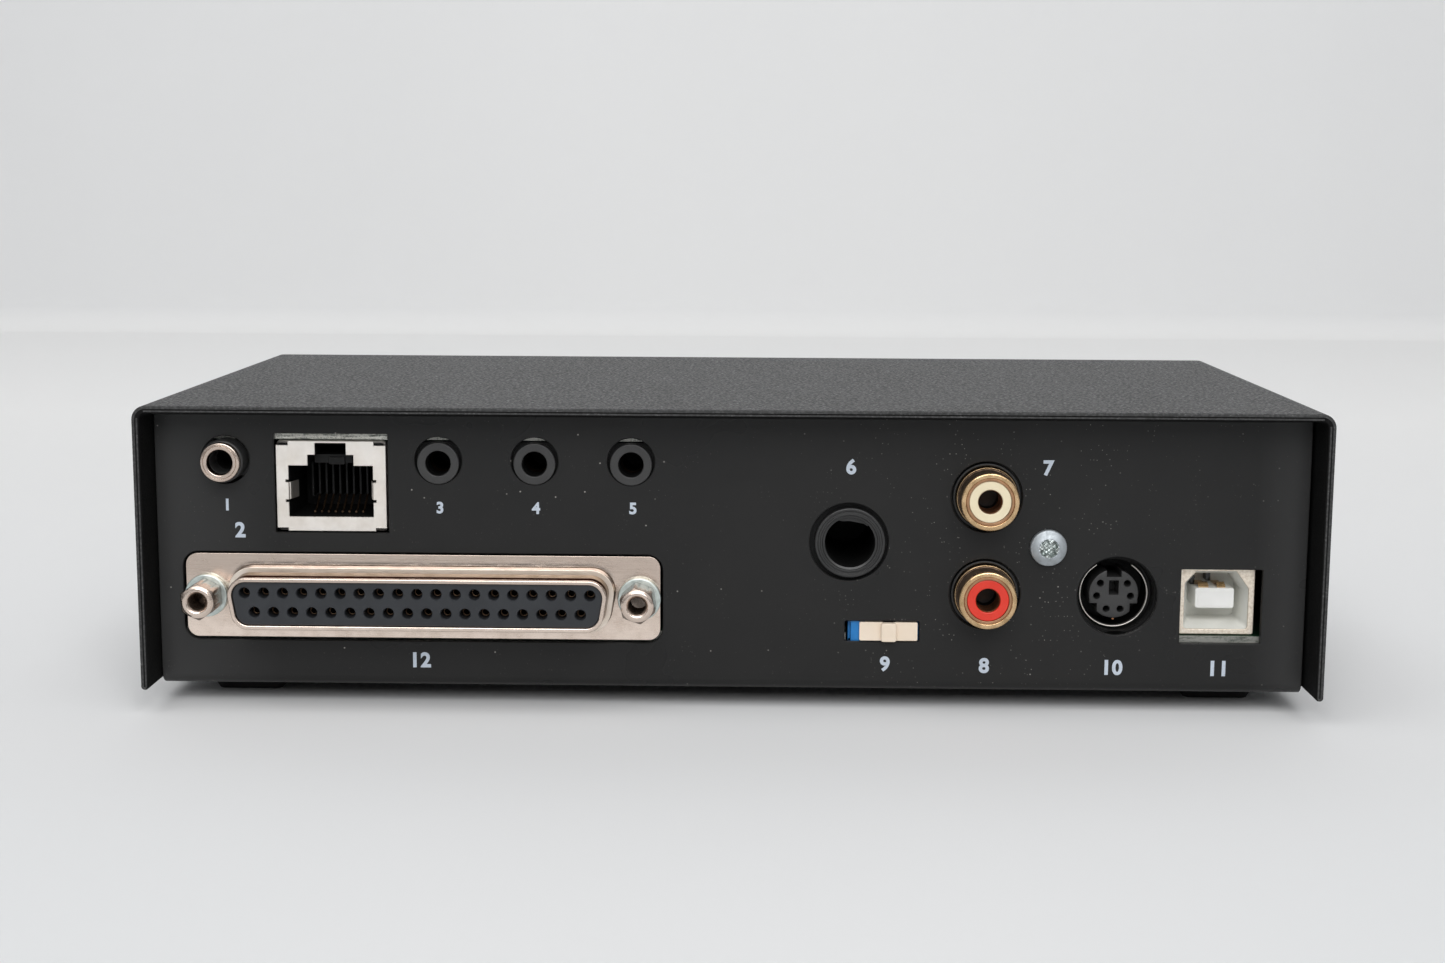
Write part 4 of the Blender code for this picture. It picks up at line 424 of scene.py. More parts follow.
def plated(name, bright, dull, roughness, stain=3.0, relief=0.002, streak=(1, 1, 1), painted_shade_by_height=None, **fixed):
    """Plated metal: stains between two tones, with fine streaks in its gloss and relief.

    With a painted shade by height, the metal is painted darker towards a colour from one height to another.
    """
    made = Finish(name, metallic=1.0, **fixed)
    stains = made.span(made.grain(stain, 4), 0.38, 0.68)
    streaks = made.grain(0.35, 3, streak)
    shade = made.mixed(stains, bright, dull)
    # Painted shade: darker towards the given colour with height.
    if painted_shade_by_height:
        low, high, colour = painted_shade_by_height
        shade = made.mixed(made.span(made.axis("Z"), low, high), shade, colour)
    gloss = made.sum(made.span(streaks, 0.3, 0.7, roughness - 0.07, roughness + 0.07),
                     made.span(stains, 0, 1, 0, 0.06))
    return made.give(shade, gloss, streaks, relief)


def pebbled_coat():
    """Powder coat in pebbles, painted paler on their tops and darker in their hollows as painted light and
    shade; its cut ends painted darker as painted shade, and here and there paler: partly wear, partly a
    painted highlight on the rim's edges.
    """
    made = Finish("pebbled_powder_coat")
    pebbles = made.span(made.cells(0.46, feature="SMOOTH_F1")["Distance"], 0.05, 0.6, 1.0, 0.0)
    bumps = made.sum(made.times(pebbles, 0.65), made.times(made.grain(0.2, 3, rough=0.7), 0.75))
    # Pebble tops paler and hollows darker: painted light and painted shade on the relief.
    shade = made.mixed(made.span(bumps, 0.45, 0.95), grey(0.019), grey(0.066))
    shade = made.mixed(made.span(made.grain(14.0, 4), 0.35, 0.65, 0.0, 0.3), shade, grey(0.058, -0.02))
    ends = made.away("Y", -4.05)
    # The cut ends painted darker: painted shade.
    shade = made.mixed(made.span(ends, 42.3, 42.6, 0.0, 0.42), shade, grey(0.01))
    # Pale marks on the cut ends: partly wear, partly a painted highlight along the rim's edges.
    rubbed_and_highlight = made.times(made.span(ends, 42.35, 42.6), made.span(made.grain(0.7, 4, (1, 2, 2)), 0.64, 0.72))
    shade = made.mixed(made.times(rubbed_and_highlight, 0.5), shade, grey(0.14))
    return made.give(shade, made.span(bumps, 0.5, 0.95, 0.62, 0.31), bumps, 0.1)


def satin_paint():
    """Smooth black panel paint, painted paler towards the sides as painted light against the side walls'
    shade, with specks of pale dust in drifts.
    """
    made = Finish("satin_panel_paint", Specular_IOR_Level=0.2)
    cloud = made.grain(18.0)
    x = made.axis("X")
    shade = made.mixed(made.span(cloud, 0.3, 0.7), grey(0.0162), grey(0.0198, 0.015))
    # Paler near both side walls: painted light that offsets the shade the walls and the rim cast on the
    # panel.
    shade = made.mixed(made.higher(made.span(x, 76.0, 84.6), made.span(x, -84.6, -66.0, 1.0, 0.0)), shade,
                       grey(0.042))
    drift = made.span(made.grain(5.0, 4, rough=0.7), 0.5, 0.62)
    near = made.span(made.away("X", 40.0), 9.0, 26.0, 0.75, 0.14)
    dust = made.higher(made.specks(0.72, 0.03, 0.085, 0.3), made.specks(1.9, 0.05, 0.13, 0.22))
    single = made.times(made.specks(4.6, 0.05, 0.14, 0.28), made.span(x, -20.0, 15.0, 0.95, 0.22))
    dust = made.higher(made.times(made.times(dust, drift), near), single)
    return made.give(made.mixed(dust, shade, grey(0.38, 0.06)), made.span(cloud, 0.3, 0.7, 0.26, 0.34),
                     made.grain(0.3), 0.002, 0.4)


def board_laminate(name, low, high, pale):
    """Green solder mask on the board's faces, and frosted layers of glass cloth on its edges."""
    made = Finish(name)
    height = made.axis("Z")
    inside = made.times(made.span(height, low + 0.02, low + 0.03),
                        made.span(height, high - 0.03, high - 0.02, 1.0, 0.0))
    frost = made.grain(0.42, 4, (1.0, 1, 1.4), 0.85)
    layers = made.span(made.grain(0.5, 2, (0.2, 0.2, 2.0)), 0.3, 0.6, 0.55, 1.0)
    glass = made.mixed(made.span(made.times(frost, layers), 0.22, 0.44),
                       (0.045, 0.062, 0.05), (1.0 * pale, 1.0 * pale, 0.92 * pale))
    mask = made.mixed(made.span(made.grain(2.0), 0.35, 0.65), (0.005, 0.024, 0.012), (0.009, 0.04, 0.019))
    return made.give(made.mixed(inside, mask, glass), made.span(inside, 0, 1, 0.32, 0.75), frost, 0.02, 0.5)


def pale_print():
    """Screen-printed ink, a little uneven where the paint's skin shows through."""
    made = Finish("pale_print")
    wear = made.span(made.grain(0.25), 0.3, 0.42)
    return made.give(made.mixed(wear, (0.4, 0.45, 0.51), (0.53, 0.59, 0.67)),
                     made.span(wear, 0, 1, 0.5, 0.6), made.grain(0.2, 2), 0.004)


BRUSHED = {"streak": (0.12, 1, 1.6)}
COVER_COAT = pebbled_coat()
PANEL_PAINT = satin_paint()
PRINT = pale_print()
# A near-black copy of the coat for the cover's inside faces: painted shade.
COVER_INSIDE_PAINTED_SHADE = moulded("cover_inside_painted_shade", grey(0.0016), grey(0.0034), 0.75, 0.3, 0.01, Specular_IOR_Level=0.16)
# The warm nickel is painted darker upwards from 11.5 to 20.5 mm high: painted shade.
NICKEL = plated("warm_nickel", (0.93, 0.79, 0.69), (0.8, 0.665, 0.57), 0.2, 2.6, **BRUSHED,
                painted_shade_by_height=(11.5, 20.5, (0.6, 0.495, 0.425)))
# The next four finishes are darker and paler copies of the warm nickel: painted shade, painted shade, a
# painted dark reflection and painted light, for the drawn shell's bands; the shaded one also serves the
# jackscrews' hexagons.
SHADED_NICKEL = plated("shaded_nickel", (0.275, 0.228, 0.195), (0.19, 0.155, 0.132), 0.17, 2.2, **BRUSHED)
NICKEL_PAINTED_SHADE = plated("nickel_painted_shade", (0.27, 0.222, 0.188), (0.19, 0.155, 0.13), 0.18, 2.2, **BRUSHED,
                       Specular_Tint=(0.7, 0.65, 0.6, 1))
NICKEL_PAINTED_DARK_REFLECTION = plated("nickel_painted_dark_reflection", (0.075, 0.061, 0.054), (0.05, 0.04, 0.036), 0.2, 1.4, **BRUSHED,
                        Specular_Tint=(0.26, 0.19, 0.165, 1))
NICKEL_PAINTED_LIGHT = plated("nickel_painted_light", (0.99, 0.88, 0.78), (0.88, 0.77, 0.66), 0.36, 2.2, **BRUSHED)
PALE_NICKEL = plated("pale_nickel", (0.93, 0.885, 0.83), (0.8, 0.745, 0.68), 0.42, 3.4, streak=(1, 1, 0.3))
TINNED = plated("tinned_steel", (0.97, 0.88, 0.76), (0.76, 0.66, 0.54), 0.44, 0.45, 0.008)
ZINC = plated("zinc_plate", (0.58, 0.62, 0.655), (0.42, 0.445, 0.46), 0.38, 1.1, 0.006)
BRIGHT_ZINC = plated("bright_zinc", (0.51, 0.55, 0.58), (0.42, 0.45, 0.47), 0.56, 1.3, 0.006)
SCUFFED_ZINC = plated("scuffed_zinc", (0.56, 0.61, 0.6), (0.2, 0.22, 0.21), 0.4, 0.4, 0.03)
AQUA_ZINC = plated("blued_zinc", (0.78, 0.855, 0.825), (0.6, 0.67, 0.64), 0.42, 0.9, 0.006)
# Aged bronze darkened further as painted shade, for contacts, springs and wires deep in holes and for the
# shell's fillet crease.
AGED_BRONZE_PAINTED_SHADE = plated("aged_bronze_painted_shade", (0.125, 0.08, 0.05), (0.04, 0.025, 0.016), 0.42, 0.8)
DARK_BROWN_STEEL = plated("dark_brown_steel", (0.36, 0.285, 0.235), (0.085, 0.062, 0.046), 0.4, 0.5, 0.01)
GOLD = plated("gold_flash", (0.72, 0.5, 0.285), (0.5, 0.34, 0.18), 0.23, 1.3, 0.0008)
# Tarnished gold, darkened further as painted shade, for the barrels behind the rolled lips.
TARNISHED_GOLD_PAINTED_SHADE = plated("tarnished_gold_painted_shade", (0.25, 0.185, 0.135), (0.085, 0.062, 0.046), 0.46, 1.0,
                        streak=(1, 1, 0.4))
COPPER = plated("dull_copper", (0.4, 0.19, 0.1), (0.2, 0.09, 0.05), 0.35)
ROSE_GOLD = plated("rose_gold", (0.5, 0.29, 0.165), (0.34, 0.195, 0.11), 0.34)
BROWN_SPRING = plated("brown_spring", (0.55, 0.26, 0.13), (0.24, 0.105, 0.05), 0.4, 1.2)
SOCKET_BLACK = moulded("socket_black", grey(0.03), grey(0.04), 0.42, 0.3)
# Black plastic darkened further as painted shade, for bores, wells and the bodies seen through them.
PIT_BLACK_PAINTED_SHADE = moulded("pit_black_painted_shade", grey(0.0018), grey(0.0034), 0.55, 0.4, Specular_IOR_Level=0.25)
GLOSS_BLACK = moulded("gloss_black", grey(0.0042), grey(0.0065), 0.16, 0.6, 0.002)
DULL_BLACK = moulded("dull_black", grey(0.006), grey(0.01), 0.5, 0.25)
SMOKY_BLACK = moulded("smoky_black", grey(0.016), grey(0.026), 0.34, 0.25)
INSULATOR = moulded("slate_insulator", (0.015, 0.017, 0.0205), (0.0215, 0.0245, 0.029), 0.42, 0.22, 0.008)
RUBBER = moulded("foot_rubber", grey(0.008), grey(0.013), 0.72, 0.2, 0.02)
IVORY = moulded("ivory_plastic", (0.79, 0.69, 0.475), (0.85, 0.76, 0.55), 0.36)
SIGNAL_RED = moulded("signal_red", (0.67, 0.03, 0.013), (0.75, 0.044, 0.022), 0.36)
SWITCH_BLUE = moulded("switch_blue", (0.004, 0.15, 0.45), (0.014, 0.22, 0.58), 0.4, 0.12, 0.01)
CREAM = moulded("cream_nylon", (0.82, 0.69, 0.55), (0.87, 0.75, 0.62), 0.46)
MILK_WHITE = moulded("milk_white", (0.84, 0.84, 0.81), (0.9, 0.9, 0.88), 0.4)
LINING = moulded("socket_lining", (0.74, 0.74, 0.69), (0.84, 0.84, 0.79), 0.4)
EPOXY = moulded("chip_epoxy", grey(0.012), grey(0.018), 0.55, 0.1, 0.006)
LENS = moulded("lamp_lens", (0.02, 0.22, 0.045), (0.03, 0.3, 0.06), 0.12, 0.4, 0.001,
               Coat_Weight=0.6, Coat_Roughness=0.05)


# The case


def sheet_with_bends(name, place, corners, radii, start, end):
    """A bent sheet: its closed section, with eased bends and edges, carried from one end to the other."""
    made = Piece(name, place)
    rim = 0.45
    made.wrap(eased(corners, radii, 8), [(-rim, start), (0, start), (0, end), (-rim, end)], 0.38, 4,
              foot=True, end=True)
    return made


def make_cover():
    """An arch of sheet: its section in X and Z, carried along Y, its inside faces in a near-black copy of the
    coat as painted shade.
    """
    low, high = extent("top_cover")
    w, foot, top = high[0], low[2] - COVER_DROP, high[2]
    corners = [(w, foot), (w, top), (-w, top), (-w, foot), (SHEET - w, foot), (SHEET - w, top - SHEET),
               (w - SHEET, top - SHEET), (w - SHEET, foot)]
    made = sheet_with_bends("cover_sheet", seat((0, 0, 0), REARWARD), corners,
                            (0.5, 2.0, 2.0, 0.5, 0.5, 0.9, 0.9, 0.5), -high[1], -low[1])
    mesh = made.mesh()
    centres = np.empty(len(mesh.polygons) * 3)
    mesh.polygons.foreach_get("center", centres)
    x, _, z = (centres.reshape(-1, 3) / MM).T
    # Faces inside the arch take the near-black copy: painted shade.
    inner = (np.abs(x) < w - 0.8) & (z < top - 0.8)
    mesh.polygons.foreach_set("material_index", inner.astype(np.int32))
    made.done("cover_coat", "top_cover", COVER_COAT, COVER_INSIDE_PAINTED_SHADE, mesh=mesh)


def drill(outline, place):
    """A cutter for a hole through a panel that leaves a fine chamfer at both its faces."""
    chamfer, past = 0.12, 0.3
    made = Piece("drill", place)
    made.wrap(outline, [(chamfer + past, -SHEET - past), (0, chamfer - SHEET), (0, -chamfer),
                        (chamfer + past, past)], foot=True, end=True)
    return placed("drill", made.mesh())


def window(node, margins):
    """A rectangular hole round a node, with its margins to the left, below, right and above."""
    left, below, right, above = np.array([corner[[0, 2]] for corner in extent(node)]).ravel() + margins
    return eased(rectangle(right - left, above - below), 0.15, 2), on_rear((left + right) / 2,
                                                                          (below + above) / 2)


def panel_openings():
    """The outline and the seat of every hole in the two panels."""
    yield eased(rectangle(FLANGE[0] + 0.8, FLANGE[1] + 0.7), 2.3, 6), on_rear(*(DSUB - (0.05, 0.1)))
    yield circle(72, 3.5), on_rear(*EXT_MIC)
    yield window("modular_socket_shield", (-0.05, -0.25, 0.35, 1.08))
    for node in AUDIO_JACKS:
        x, _, z = middle(node)
        yield circle(72, 3.42), on_rear(x, z + 0.4)
    yield circle(96, 5.75), on_rear(*PADDLE)
    yield eased(rectangle(10.9, 3.04), 0.25, 3), on_rear(22.21, SWITCH_Z)
    for x, z in PHONO:
        yield circle(80, 5.15), on_rear(x, z)
    yield circle(40, 1.8), on_rear(*PHONO_SCREW)
    yield circle(96, 5.8), on_rear(*REMOTE)
    yield window("usb_shell", (-0.1, -1.2, 0.65, 0.15))
    yield circle(64, 3.8), on_front(*SPEED)
    for x in LAMPS:
        yield circle(40, 1.8), on_front(x, SPEED[1])


def make_chassis():
    """A tray of sheet whose section in Y and Z is carried along X, drilled, with its side edges."""
    low, high = extent("base_chassis")
    y0, y1, z0, z1 = low[1], high[1], low[2], high[2]
    foot, floor = z0 - TRAY_DROP, z0 + SHEET
    corners = [(y0, foot), (y1, foot), (y1, z1), (y1 - SHEET, z1), (y1 - SHEET, floor), (y0 + SHEET, floor),
               (y0 + SHEET, z1), (y0, z1)]
    tray = sheet_with_bends("chassis_tray", seat((0, 0, 0), RIGHTWARD), corners,
                            (1.6, 1.6, 0.5, 0.5, 0.5, 0.5, 0.5, 0.5), low[0] - 0.25, high[0])
    blank = placed("blank", tray.mesh())
    cutters = [drill(outline, place) for outline, place in panel_openings()]
    for cutter in cutters:
        set_up(blank.modifiers.new("drill", "BOOLEAN"), operation="DIFFERENCE", solver="EXACT", object=cutter)
    points, faces = worked(blank)
    for item in cutters + [blank]:
        bpy.data.objects.remove(item, do_unlink=True)
    made = Piece("chassis_tray")
    made.loose(points / MM, faces)
    for sign in (-1, 1):
        made.bar(SHEET, y1 - y0 - 12.0, z0 + 0.5, floor + 7.0, 0.4, 0.2,
                 place=seat((sign * (high[0] - SHEET / 2), (y0 + y1) / 2, 0), UPWARD))
    made.done("chassis_paint", "base_chassis", PANEL_PAINT)


def make_foot(node):
    """A square rubber foot: tapered sides with an eased rim, and a flat sole with a screw's well."""
    low, high = extent(node)
    tall, sole, corner, well = high[2] - low[2], 9.5, 1.1, 1.9
    block = eased(rectangle(sole, sole), corner, 6)
    made = Piece(f"rubber_{node}", seat((*middle(node)[:2], high[2]), DOWNWARD))
    made.wrap(block, [(1.2, 0.02), (1.2, 1.2), (0, tall), (-0.6, tall)], (0, 0.3, 0.2, 0), foot=True)
    made.face([offset(block, -0.6), circle(40, well)[0]], tall)
    made.turned([(well, tall), (1.8, tall - 1.9), (0, tall - 1.9)], 0.1, 4, 40)
    made.done("foot_rubber", node, RUBBER)


def pan_head(made, shank=5.0, wear=0.0, turn=0.0):
    """A pan-head screw with a cross recess; the middle of the head takes the second finish.

    Over the head, d = tall - crown * (r / R)^2.4 less the recess, whose depth falls off smoothly
    from the arms of a cross: 1 where the smaller of |u| and |v| is under half an arm's width and
    the larger under half its span, with u and v turned by a set angle.
    """
    radius, tall, edge, rows, columns = 2.65, 1.6, 0.62, 56, 96
    inner, rim = radius - 0.3, tall - edge
    share = np.linspace(0, 1, rows)[::-1, None]
    around = full_turn(columns)[None]
    r = share * inner
    u = np.abs(r * np.cos(around - turn))
    v = np.abs(r * np.sin(around - turn))
    small, large = np.minimum(u, v), np.maximum(u, v)
    arm = 0.36 + wear * 0.12 + 0.1 * (1 - large / 1.5)
    cross = np.clip((arm - small) / 0.16, 0, 1) * np.clip((1.42 - large) / 0.35, 0, 1)
    cross = cross * cross * (3 - 2 * cross)
    rough = wear * 0.07 * np.sin(9 * r * np.cos(around) + 1.3) * np.sin(11 * r * np.sin(around))
    top = polar(r, around, tall - edge * share ** 2.4 - 0.85 * cross + rough * (share < 0.62))
    border = int(rows * 0.42)
    made.patch(top[:border + 1])
    made.patch(top[border:], paint=1)
    made.turned([(0, -shank), (1.5, -shank), (1.5, 0.02), (radius, 0.02), (radius, rim - 0.18), (inner, rim)],
                (0, 0.3, 0, 0.12, 0.4, 0), 6, columns)


def make_cover_screws():
    for node in ("cover_screw_rear_left", "cover_screw_front_left", "cover_screw_rear_right",
                 "cover_screw_front_right"):
        low, high = extent(node)
        right = node.endswith("right")
        x = high[0] - 1.6 if right else low[0] + 1.6
        made = Piece(f"zinc_{node}", seat((x, *middle(node)[1:]), RIGHTWARD if right else LEFTWARD))
        pan_head(made, 3.6, turn=0.4 + 0.5 * right + 0.3 * ("front" in node))
        made.done("zinc_steel", node, ZINC, ZINC)


def make_numerals():
    """Plain port numbers in the pale print: font outlines set to a height, just proud of the paint."""
    made = Piece("port_numerals")
    small, large = 1.75, 2.3
    places = ((-73.4, 29.8, small), (-71.6, 26.1, large), (-42.3, 29.6, small), (-28.3, 29.65, small),
              (-14.2, 29.7, small), (17.4, 36.1, large), (45.86, 36.1, large), (37.2, 6.85, large),
              (22.7, 6.95, large), (56.1, 6.75, large), (71.3, 6.75, large), (-45.3, 6.9, large))
    for number, (x, z, tall) in enumerate(places, 1):
        item = placed("numeral", set_up(bpy.data.curves.new("numeral", "FONT"), body=str(number), size=1.0,
                                        offset=0.038, space_character=1.08, resolution_u=6))
        points, faces = worked(item)
        bpy.data.objects.remove(item, do_unlink=True)
        low, high = points.min(0), points.max(0)
        points = (points - (low + high) / 2) * tall / (high[1] - low[1])
        points[:, 2] = 0.03
        made.loose(points, faces, place=on_rear(x, z))
    made.done(None, None, PRINT)


# The D connector


def d_outline():
    """The connector's D: a wide top, sides that lean in by tan 10 degrees, and eased corners."""
    a, b = DSUB_SIZE[0] / 2, DSUB_SIZE[1] / 2
    lean = DSUB_SIZE[1] * math.tan(math.radians(10))
    lowered, corner = 0.14, 2.6
    return eased(np.array([(lean - a, -b), (a - lean, -b), (a, b), (-a, b)]) - (0, lowered), corner, 12)


def make_dsub_shell():
    """The drawn shell: the D carried through its flange's fillet, two steps, a rolled rim and back."""
    made = Piece("drawn_shell", on_rear(*DSUB))
    outline = d_outline()
    # The bands: the flange's foot in the nickel; a dark line of painted shade in the fillet's crease; the
    # step's side in the shaded copy, painted shade; the step's edge and face in the pale copy, painted light;
    # the side beyond in a darker copy, painted shade; towards the rim a near-black copy, a painted reflection
    # of the dark panel.
    for paint, radii, *corners in ((0, None, (1.7, 0), (0.94, 0)),
                                   (2, None, (0.94, 0), (0.87, 0.03), (0.85, 0.2)),
                                   (1, None, (0.85, 0.2), (0.8, 1.84)),
                                   (4, 0.11, (0.8, 1.84), (0.8, 1.97), (0.1, 1.97)),
                                   (5, None, (0.1, 1.97), (0.06, 2.4), (0.02, 3.9)),
                                   (3, None, (0.02, 3.9), (0, 5.35))):
        made.wrap(outline, corners, radii, 5, paint=paint)
    made.wrap(outline, [(0, 5.35), (0, 5.85), (-0.62, 5.85), (-0.62, -6.9), (0.85, -6.9),
                        (0.85, FLANGE_BACK), (1.7, FLANGE_BACK)], (0, 0.25, 0.13, 0, 0.2, 0.3, 0), 7)
    flange = eased(rectangle(*FLANGE), 1.7, 8)
    made.wrap(flange, [(-0.4, FLANGE_BACK), (0, FLANGE_BACK), (0, 0), (-0.4, 0)], 0.07)
    bores = [circle(40, 1.6, (BORE_A * sign, 0)) for sign in (-1, 1)]
    for bore in bores:
        made.wrap(bore, [(0, 0), (0, FLANGE_BACK)])
    loops = [offset(flange, -0.4), offset(outline, 1.7)] + [bore[0] for bore in bores]
    made.face(loops, 0.0)
    made.face(loops, FLANGE_BACK, -1)
    made.done("nickel", "dsub_shell", NICKEL, SHADED_NICKEL, AGED_BRONZE_PAINTED_SHADE, NICKEL_PAINTED_DARK_REFLECTION, NICKEL_PAINTED_LIGHT,
              NICKEL_PAINTED_SHADE)


def make_dsub_insulator():
    """The dark block in the shell: a face pierced by 19 over 18 bevelled holes, each with its contact."""
    made = Piece("socket_block", on_rear(*DSUB))
    contacts = Piece("socket_contacts")
    outline, front, hole = d_outline(), 5.4, 0.86
    made.wrap(outline, [(-0.66, -6.0), (-0.66, front), (-0.9, front)], 0.12, 3, foot=True)
    centres = [((number - (count - 1) / 2) * SOCKET_PITCH, b)
               for count, b in ((19, SOCKET_ROW), (18, -SOCKET_ROW)) for number in range(count)]
    made.face([offset(outline, -0.9)] + [circle(28, hole, centre)[0] for centre in centres], front)
    for a, b in centres:
        spot = on_rear(DSUB[0] + a, DSUB[1] + b)
        made.turned([(hole, front), (0.74, 5.22), (0.7, 1.0), (0, 1.0)], (0, 0.12, 0, 0), 3, 28, place=spot)
        contacts.turned([(0.62, 1.1), (0.62, 3.6), (0.44, 3.6), (0.44, 1.1)], 0.06, 2, 20,
                        place=spot)
    made.bar(56.5, 9.8, -3.1, 3.1, 0.5, 0.2, place=on_rear(DSUB[0], 16.5, 10.3))
    made.done("dark_insulator", "dsub_insulator", INSULATOR)
    # The contacts deep in their holes in the dark bronze: painted shade.
    contacts.done("gold_plate", None, AGED_BRONZE_PAINTED_SHADE)


def make_jackscrew(side, sign, turn):
    """A hexagonal jackscrew with a chamfered end and a threaded bore.

    Its side is the smallest of the hexagon's radius, (flats / 2) / cos(t mod 60 - 30), and those
    of a cone at the tip and one at the foot. The bore's radius rises and falls by a triangle wave
    of d / pitch - t / 360 degrees.
    """
    foot, end, flats, pitch, bore = 1.05, 5.6, 4.75, 0.635, 1.42
    rim = end + 0.26
    place = on_rear(DSUB[0] + sign * BORE_A, DSUB[1])
    made = Piece(f"hexagon_{side}", place)
    around = full_turn(120)[None]
    sixth = np.mod(around - turn + np.pi / 6, np.pi / 3) - np.pi / 6
    six = np.minimum(flats / 2 / np.cos(sixth), flats / math.sqrt(3) * 0.985)
    rise = np.concatenate([[foot, foot + 0.05, end - 0.55], np.linspace(end - 0.5, end - 0.02, 10)])[:, None]
    cones = np.minimum(2.3 + (end - rise) * 1.7, 2.45 + (rise - foot) * 4.0)
    # The hexagon in the shaded copy of the nickel: painted shade.
    made.patch(polar(np.minimum(six, cones), around, rise), foot=True, paint=2)
    made.turned([(2.334, end - 0.02), (2.0, rim - 0.03), (1.62, rim), (bore, rim - 0.2)], (0, 0.5, 0.16, 0),
                6, 120)
    # The threaded bore in the dark brown steel.
    deep = np.linspace(0, 5.4, 84)[:, None]
    wave = np.abs(np.mod(deep / pitch - around / (2 * np.pi), 1.0) * 2 - 1)
    made.patch(polar(np.maximum(1.18 + 0.13 * wave, bore - deep * 0.9), around, rim - 0.2 - deep),
               end=True, paint=1)
    made.turned([(0, -4.9), (1.6, -4.9), (1.6, foot)], 0.2, 4, 32)
    made.done("nickel", f"jackscrew_{side}", NICKEL, DARK_BROWN_STEEL, SHADED_NICKEL)
    washer = Piece(f"washer_{side}", place)
    washer.turned([(1.6, 0.04), (3.14, 0.04), (3.14, 0.96), (1.6, 0.96)], 0.14, 3, 72, looped=True)
    washer.done("blued_zinc", f"jackscrew_washer_{side}", AQUA_ZINC)


# The round jacks


def make_ext_mic():
    """A black nose with a nickel ring at its end: profiles turned about the jack's axis."""
    x, z = EXT_MIC
    body_z = extent("ext_mic_jack")[1][2] - 3.05
    made = Piece("ext_mic_nose", on_rear(x, z))
    made.turned([(2.4, -1.6), (2.4, -1.1), (3.12, -1.1), (3.12, 2.2), (2.3, 2.25), (1.75, 2.0), (1.7, -9.0),
                 (0, -9.0)], (0, 0, 0.1, 0.35, 0.1, 0, 0, 0), 5, 72)
    made.bar(8.5, 5.4, -6.0, 6.0, 0.4, 0.2, holes=[circle(48, 1.7, (0, z - body_z))[0]],
             place=on_rear(x, body_z, 7.4))
    made.done("black_plastic", "ext_mic_jack", SOCKET_BLACK)
    ring = Piece("ext_mic_collar", on_rear(x, z))
    ring.turned([(2.2, 2.2), (2.88, 2.2), (2.88, 3.25), (2.46, 3.33), (2.4, 3.24), (2.34, 3.33),
                 (1.86, 3.33), (1.76, 2.2), (1.76, -1.0), (2.2, -1.0)],
                (0, 0.1, 0.32, 0.02, 0.02, 0.02, 0.2, 0, 0, 0), 5, 96, looped=True)
    ring.done("nickel", "ext_mic_ring", NICKEL)


def make_audio_jack(node):
    """A black jack under the board: a flat-faced nose with an eased bore, on its body."""
    x, y, z = middle(node)
    made = Piece(f"{node}_nose", on_rear(x, z))
    made.turned([(3.05, -1.5), (3.05, 0.3), (1.84, 0.3), (1.8, -0.1)], (0, 0.18, 0.16, 0), 5, 80)
    # The bore and the body behind in the near-black: painted shade.
    made.turned([(1.8, -0.1), (1.76, -12.6), (0, -12.6)], count=80, paint=1)
    made.bar(11.0, 6.2, -6.0, 6.0, 0.6, 0.25, holes=[circle(48, 1.78)[0]], paint=1,
             place=seat((x, y + 0.85, z), REARWARD))
    made.done("black_plastic", node, SOCKET_BLACK, PIT_BLACK_PAINTED_SHADE)
    spring = Piece(f"{node}_spring", on_rear(x, z))
    spring.turned([(1.76, -4.0), (1.6, -4.3), (1.6, -5.4), (1.76, -5.6)], 0.1, 3, 48)
    # The spring down the bore in the dark bronze: painted shade.
    spring.done("nickel", None, AGED_BRONZE_PAINTED_SHADE)


def make_paddle_jack():
    """The large jack: stepped rings, a groove and an eased bore, turned about its axis."""
    nose = PADDLE + (0.16, -0.14)
    made = Piece("paddle_nose", on_rear(*nose))
    # The annulus round the nose, the bore and the body in the near-black: painted shade.
    made.turned([(5.2, -6.0), (5.2, -1.0)], count=112, paint=1)
    made.turned([(5.2, -1.0), (5.12, -0.06), (4.72, -0.04), (4.64, -0.24), (4.36, -0.22), (4.28, -0.08),
                 (4.08, -0.1), (3.98, -0.3), (3.68, -0.4)],
                (0, 0.3, 0.06, 0.06, 0.06, 0.06, 0.06, 0.1, 0), 5, 112)
    made.turned([(3.68, -0.4), (3.62, -0.6), (3.56, -22.0), (0, -22.0)], count=112, paint=1)
    spring = [(-2.75, 2.25), (-1.6, 3.0), (-0.9, 2.86), (0.2, 2.9), (1.4, 2.66), (2.2, 2.5), (2.75, 2.1),
              (3.4, 3.2), (0, 3.9), (-3.2, 3.4)]
    made.wrap(eased(spring, 0.1, 2), [(0, -4.4), (0, -1.15), (-0.06, -1.1)], end=True,
              place=on_rear(*PADDLE))
    low, high = extent("paddle_jack")
    x, y, z = (low + (0, 1.3, 0) + high) / 2
    made.bar(high[0] - low[0], high[2] - low[2], -12.0, 12.0, 0.8, 0.3, paint=1,
             holes=[circle(64, 3.6, nose - (x, z))[0]], place=seat((x, y, z), REARWARD))
    made.done("black_plastic", "paddle_jack", SMOKY_BLACK, PIT_BLACK_PAINTED_SHADE)


# The modular socket


def mouth_corners(grow=0.0, tabs=True):
    """The stepped opening: cavity, step and latch notch, with slots beside the side springs."""
    x, low, high = 6.17 + grow, -4.56 - grow, 2.96 + grow
    step, step_top, latch, latch_top = 3.35 + grow, 4.54 + grow, 2.26 + grow, 6.28 + grow
    slot = x + 0.45
    slots = [(x, -2.43), (slot, -2.43), (slot, -2.05), (x, -2.05), (x, 0.51), (slot, 0.51), (slot, 0.89),
             (x, 0.89)]
    line = [(x, low)] + slots * tabs + [(x, high), (step, high), (step, step_top), (latch, step_top),
                                        (latch, latch_top)]
    return line + [(-p, q) for p, q in line[::-1]]


